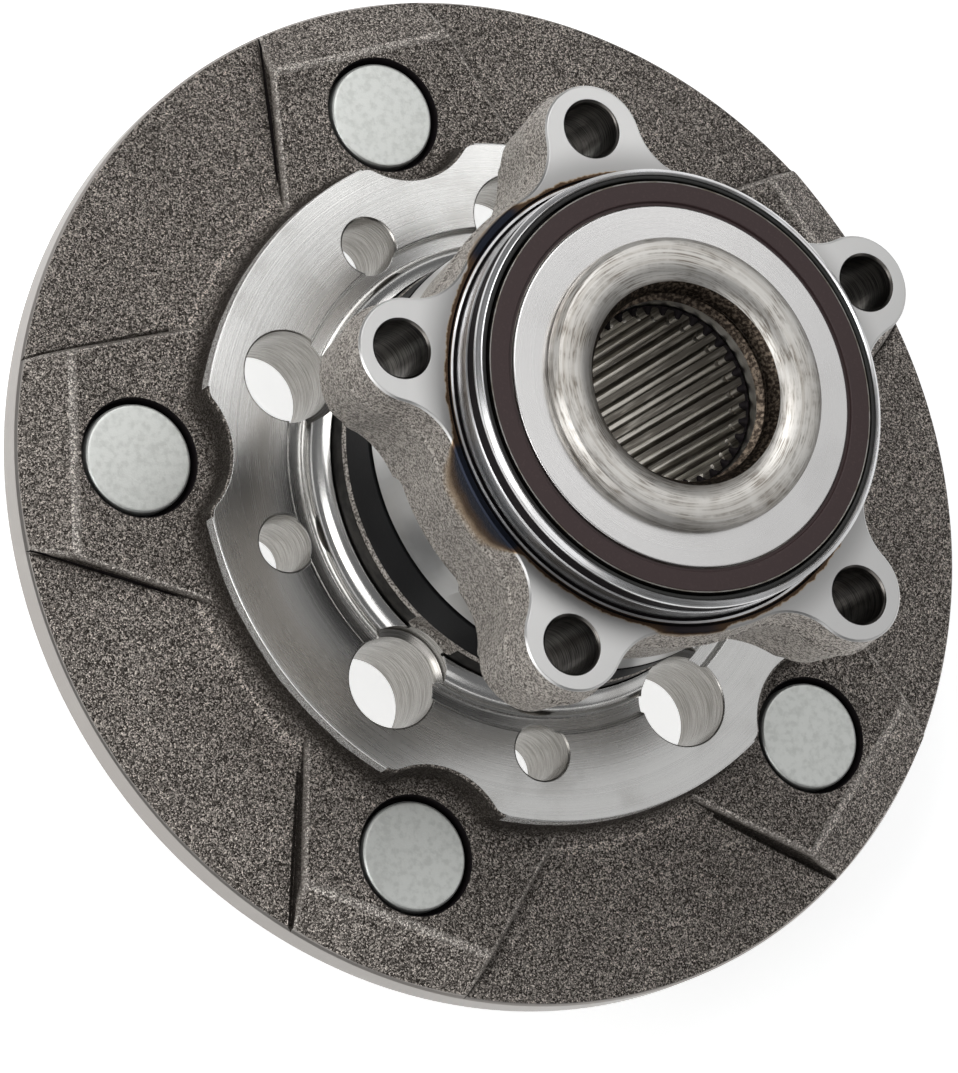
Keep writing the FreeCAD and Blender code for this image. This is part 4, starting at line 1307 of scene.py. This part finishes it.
    def bolt_tool(self) -> Shape:
        """Cutter of one bolt hole and the flat under it, along +X."""
        hole, flat, face = self.ear_hole, self.spot_face, self.ear_face
        return Shape.turned([
            (0.0, 40.0), (flat, 40.0), (flat, self.spot_height, 0.4), (hole, self.spot_height),
            (hole, face - 0.46), (hole + 1.0, face + 0.54), (hole + 1.0, 80.0), (0.0, 80.0),
        ], HOLE_STEPS, (self.bolt_circle, 0.0), Skin.BOLT_HOLE)

    def relief_tool(self) -> Shape:
        """Face groove in the ears round the spigot."""
        near, far = self.relief
        foot = self.ear_face - 0.8
        # The groove's walls are painted near-black as shade.
        return Shape.turned([(near, foot), (far, foot), (far, 78.0), (near, 78.0)], skin=Skin.RECESS)

    def ear_skin(self, middle: Vector, normal: Vector) -> Skin | None:
        """Milled face on top of the ears, with its broken edge."""
        return Skin.EAR_FACE if middle.z > self.ear_face - 0.3 and normal.z > 0.4 else None

    def build(self, steels: Sequence[Material]) -> None:
        """Makes the piece that stands for the outer ring."""
        shape = self.ears()
        shape.cut(self.underside_tool())
        shape.cut(Shape.turned([(0.0, 31.0), (self.core, 31.0), (self.core, 80.0), (0.0, 80.0)]))
        shape.merged(Shape.turned(self.outline()).dressed(self.ring_skin))
        shape.cut(self.bolt_tool().repeated(self.ear_count, self.ear_turn))
        shape.cut(self.relief_tool())
        shape.piece("outer_ring_forging", steels, "outer", "ring_steel", ["outer_ring"])


@dataclass
class InnerRing:
    """Inner ring that the collar holds."""

    lip: float = 35.4
    steel: TurnedSteel = field(
        default_factory=lambda: TurnedSteel(
            "inner_ring_steel", color=(0.69, 0.68, 0.672), stain=(0.60, 0.59, 0.58), roughness=0.25,
            pitch=0.2, marks=0.002, grain=0.3,
        )
    )

    def build(self) -> None:
        """Makes the piece that stands for the inner ring."""
        bore, start, end = BEARING.stem, BEARING.inner_ring_start, BEARING.stem_end
        shape = Shape.turned([
            (bore, start), (BEARING.low_land, start, 0.4),
            *BEARING.groove(BEARING.inboard_row, 214.9, 107.2),
            (BEARING.high_land, 76.85), (self.lip, 79.45), (self.lip, end, 0.35), (bore, end),
        ])
        shape.piece("inner_ring_ground", [self.steel.build()], "hub", "inner_ring_steel", ["inner_ring"])


@dataclass
class Seals:
    """The two seals, the slinger and the encoder ring."""

    steel: PlainMetal = PlainMetal("seal_case_steel", (0.30, 0.29, 0.27), (0.18, 0.16, 0.13), 0.32)
    rubber: Moulded = Moulded(
        "seal_rubber", (0.005, 0.005, 0.0055), (0.011, 0.011, 0.012), 0.5, shine=0.1
    )
    lip: Moulded = Moulded(
        "lip_rubber", (0.010, 0.010, 0.009), (0.026, 0.026, 0.024), 0.40, shine=0.35
    )
    magnet: Moulded = Moulded(
        "encoder_rubber", (0.034, 0.0165, 0.0165), (0.055, 0.032, 0.031), 0.55, speck=0.5
    )

    def build(self) -> None:
        """Makes the pieces of both seals."""
        nose, start = BEARING.nose, BEARING.nose_start
        bore, bottom = BEARING.outboard_bore, BEARING.outboard_bore_end
        wall, back = BEARING.inboard_bore, BEARING.inboard_bore_start
        plain, fine = PLAIN_STEPS, FINE_STEPS
        for name, node, body, slot, finish, steps, outline in (
            ("outboard_case", "outboard_seal_case", "outer", "seal_steel", self.steel, plain, [
                (39.6, start), (bore, start), (bore, bottom), (35.1, bottom), (35.1, 37.0),
                (39.6, 37.0, 0.4),
            ]),
            ("outboard_rubber", "outboard_seal_rubber", "outer", "seal_rubber", self.rubber, fine, [
                (44.4, 29.2, 0.35), (44.4, 39.6, 0.3), (nose, 39.6), (nose, start), (39.6, start),
                (39.6, 37.0), (35.1, 37.0), (35.1, bottom), (34.3, bottom), (33.1, 36.8), (33.1, 36.2),
                (37.2, 36.2), (35.5, 29.6), (36.14, 29.2), (38.8, 35.4), (38.8, 29.2, 0.3),
            ]),
            ("inboard_case", "inboard_seal_case", "outer", "seal_steel", self.steel, plain, [
                (37.2, back), (wall, back), (wall, 84.9), (41.0, 84.9), (41.0, 78.8, 0.3), (37.2, 78.8),
            ]),
            ("inboard_lip", "inboard_seal_rubber", "outer", "seal_rubber", self.lip, fine, [
                (36.4, back), (37.2, back), (37.2, 78.8), (41.0, 78.8), (41.0, 84.9), (wall, 84.9),
                (wall, 85.3, 0.15), (40.75, 85.3, 0.3), (40.6, 79.6), (39.8, 79.6), (39.85, 83.9),
                (39.45, 83.9), (38.6, 79.6), (36.4, 79.6),
            ]),
            ("slinger_sheet", "slinger", "hub", "seal_steel", self.steel, plain, [
                (35.4, 79.6), (36.1, 79.6), (36.1, 84.2), (40.25, 84.2), (40.25, 85.65),
                (40.0, 85.65), (40.0, 84.9), (35.4, 84.9),
            ]),
            ("encoder_magnet", "encoder_ring", "hub", "encoder_rubber", self.magnet, fine, [
                (35.55, 84.9), (40.0, 84.9), (40.0, 85.75, 0.15), (36.2, 85.75, 0.25),
                (36.1, 85.15), (35.55, 85.15),
            ]),
        ):
            Shape.turned(outline, steps).piece(name, [finish.build()], body, slot, [node])


@dataclass
class WheelStud:
    """Pressed-in stud with a rolled thread."""

    circle: float = 80.0
    head: float = 11.0
    head_top: float = 10.75
    seat: float = 6.9
    knurl: float = 7.35
    thread: float = 7.0
    core: float = 6.05
    pitch: float = 1.5
    crest: tuple[float, float] = (0.42, 0.58)
    tip: float = -32.0
    nose: float = 5.6
    nose_length: float = 2.6

    def shank(self) -> Shape:
        """Head, neck and threaded shank."""
        pitches = int((-self.tip - self.nose_length - 2.0) / self.pitch)
        start = self.tip + self.nose_length
        rise, fall = self.crest
        thread: list[Corner] = []
        for index in range(pitches):
            foot = start + self.pitch * index
            thread += [
                (self.core, foot), (self.thread, foot + self.pitch * rise),
                (self.thread, foot + self.pitch * fall),
            ]
        top = start + self.pitch * pitches
        return Shape.turned([
            (0.0, self.tip), (self.nose, self.tip, 0.5), (self.nose, start - 0.3),
            *thread, (self.core, top), (self.thread, top + 0.8), (self.thread, 0.0),
            (self.knurl, 0.4), (self.knurl, self.seat), (self.head, self.seat, 0.3),
            (self.head, self.head_top, 0.85), (0.0, self.head_top),
        ], HOLE_STEPS, (self.circle, 0.0))

    def build(self, count: int, turn: float) -> None:
        """Makes the studs of the flange."""
        plated = PlainMetal(
            "stud_plating", (0.74, 0.755, 0.725), (0.65, 0.665, 0.635), 0.46, 0.8, 1.4, 0.03
        ).build()
        for index in range(count):
            name = f"wheel_stud_{index + 1}"
            at = turn + 360.0 / count * index
            self.shank().repeated(1, at).piece(f"{name}_bolt", [plated], "hub", "stud_steel", [name])


def dress_inner_parts(nodes: dict[str, bpy.types.Object]) -> None:
    """Gives the balls and cages, which keep their CAD shapes, their finishes.

    Args:
        nodes: CAD nodes by name.
    """
    ball = PlainMetal("ball_steel", (0.80, 0.80, 0.80), (0.74, 0.74, 0.73), 0.08, relief=0.0005).build()
    cage = Moulded("cage_polymer", (0.42, 0.34, 0.20), (0.50, 0.42, 0.27), 0.45).build()
    for name, item in nodes.items():
        finish = ball if name.startswith("ball") else cage if name.startswith("cage") else None
        if finish:
            for slot in item.material_slots:
                slot.material = finish


# Studio


@dataclass(frozen=True)
class Softbox:
    """A large soft lamp."""

    name: str
    place: Place
    target: Place
    width: float
    height: float
    power: float
    along: Place = (0.0, 0.0, 1.0)

    def build(self) -> None:
        """Hangs the lamp so that it faces its target, with its height drawn out along the given way."""
        lamp = bpy.data.lights.new(self.name, "AREA")
        lamp.shape = "RECTANGLE"
        lamp.size = self.width
        lamp.size_y = self.height
        lamp.energy = self.power
        item = placed(self.name, lamp)
        item.location = self.place
        back = (Vector(self.place) - Vector(self.target)).normalized()
        side = Vector(self.along).cross(back).normalized()
        up = back.cross(side)
        item.rotation_euler = Matrix((side, up, back)).transposed().to_euler()


@dataclass(frozen=True)
class Studio:
    """Floor, light and camera."""

    photo_width: float = 958.0
    focal_pixels: float = 5686.84
    axis_pixel: tuple[float, float] = (488.95, 554.53)
    middle_pixel: tuple[float, float] = (479.0, 536.5)
    camera_turns: Place = (-0.2791, 0.4428, -0.0424)
    camera_offset: Place = (7.9009, 15.2535, -1128.52)
    frame_turn: float = 17.84
    frame_lift: float = 18.9
    sensor: float = 36.0
    floor_height: float = -32.0
    floor_side: float = 8.0
    floor_color: Color = (0.93, 0.93, 0.93)
    floor_glow: float = 0.55
    surround: Color = (0.80, 0.81, 0.83)
    surround_glow: float = 0.18

    def camera(self) -> None:
        """Places the camera where the photograph was taken from."""
        lens = bpy.data.cameras.new("camera")
        lens.sensor_fit = "HORIZONTAL"
        lens.sensor_width = self.sensor
        lens.lens = self.focal_pixels * self.sensor / self.photo_width
        lens.shift_x = -(self.axis_pixel[0] - self.middle_pixel[0]) / self.photo_width
        lens.shift_y = (self.axis_pixel[1] - self.middle_pixel[1]) / self.photo_width
        lens.clip_end = 20.0
        turns = self.camera_turns
        view = (
            Matrix.Translation(Vector(self.camera_offset))
            @ Matrix.Rotation(turns[0], 4, "X")
            @ Matrix.Rotation(turns[1], 4, "Y")
            @ Matrix.Rotation(turns[2], 4, "Z")
            @ Matrix.Rotation(math.radians(self.frame_turn), 4, "Z")
            @ Matrix.Translation((0.0, 0.0, -self.frame_lift))
        )
        place = view.inverted()
        place.translation *= MM
        item = placed("camera", lens)
        item.matrix_world = place
        bpy.context.scene.camera = item

    def floor(self) -> None:
        """Lays a plain pale floor under the tips of the studs."""
        recipe = Recipe("floor_white")
        recipe.shader.inputs["Emission Color"].default_value = (1.0, 1.0, 1.0, 1.0)
        recipe.shader.inputs["Emission Strength"].default_value = self.floor_glow
        material = recipe.finish(self.floor_color, 0.9, 0.0)
        bm = bmesh.new()
        bmesh.ops.create_grid(bm, x_segments=1, y_segments=1, size=self.floor_side / 2.0)
        bmesh.ops.translate(bm, verts=bm.verts[:], vec=(0.0, 0.0, self.floor_height * MM))
        mesh = bpy.data.meshes.new("floor")
        bm.to_mesh(mesh)
        bm.free()
        mesh.materials.append(material)
        item = placed("floor", mesh)

    def light(self) -> None:
        """Soft studio light: a pale surround and six softboxes."""
        world = bpy.data.worlds.new("studio")
        bpy.context.scene.world = world
        world.use_nodes = True
        surround = world.node_tree.nodes["Background"]
        surround.inputs["Color"].default_value = (*self.surround, 1.0)
        surround.inputs["Strength"].default_value = self.surround_glow
        middle = (0.0, 0.0, 0.03)
        for lamp in (
            Softbox("strip_softbox", (0.13, 0.71, 1.02), middle, 0.36, 1.1, 3.5, (-0.77, 0.855, -0.333)),
            Softbox("top_softbox", (0.78, 0.05, 1.39), middle, 1.1, 1.1, 2.4),
            Softbox("overhead_softbox", (-0.22, 0.40, 0.60), middle, 0.32, 0.32, 1.3),
            Softbox("key_softbox", (-1.0, -0.09, 0.72), middle, 0.55, 0.55, 4.2),
            Softbox("front_softbox", (-0.75, -0.75, 0.66), middle, 0.9, 0.45, 1.7),
            Softbox("right_softbox", (0.9, -1.0, 0.6), middle, 0.8, 0.8, 1.0),
        ):
            lamp.build()
        view = bpy.context.scene.view_settings
        view.view_transform = "Standard"
        view.look = "None"


def main() -> None:
    """Builds the whole scene."""
    logging.basicConfig(level=logging.INFO, format="%(name)s %(message)s")
    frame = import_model()
    steels = steel_finishes()
    hub = Hub()
    hub.build(steels)
    OuterRing().build(steels)
    InnerRing().build()
    Seals().build()
    WheelStud().build(hub.stud_count, hub.rest_turn)
    dress_inner_parts(frame["nodes"])
    studio = Studio()
    studio.floor()
    studio.light()
    studio.camera()


if __name__ == "__main__":
    main()
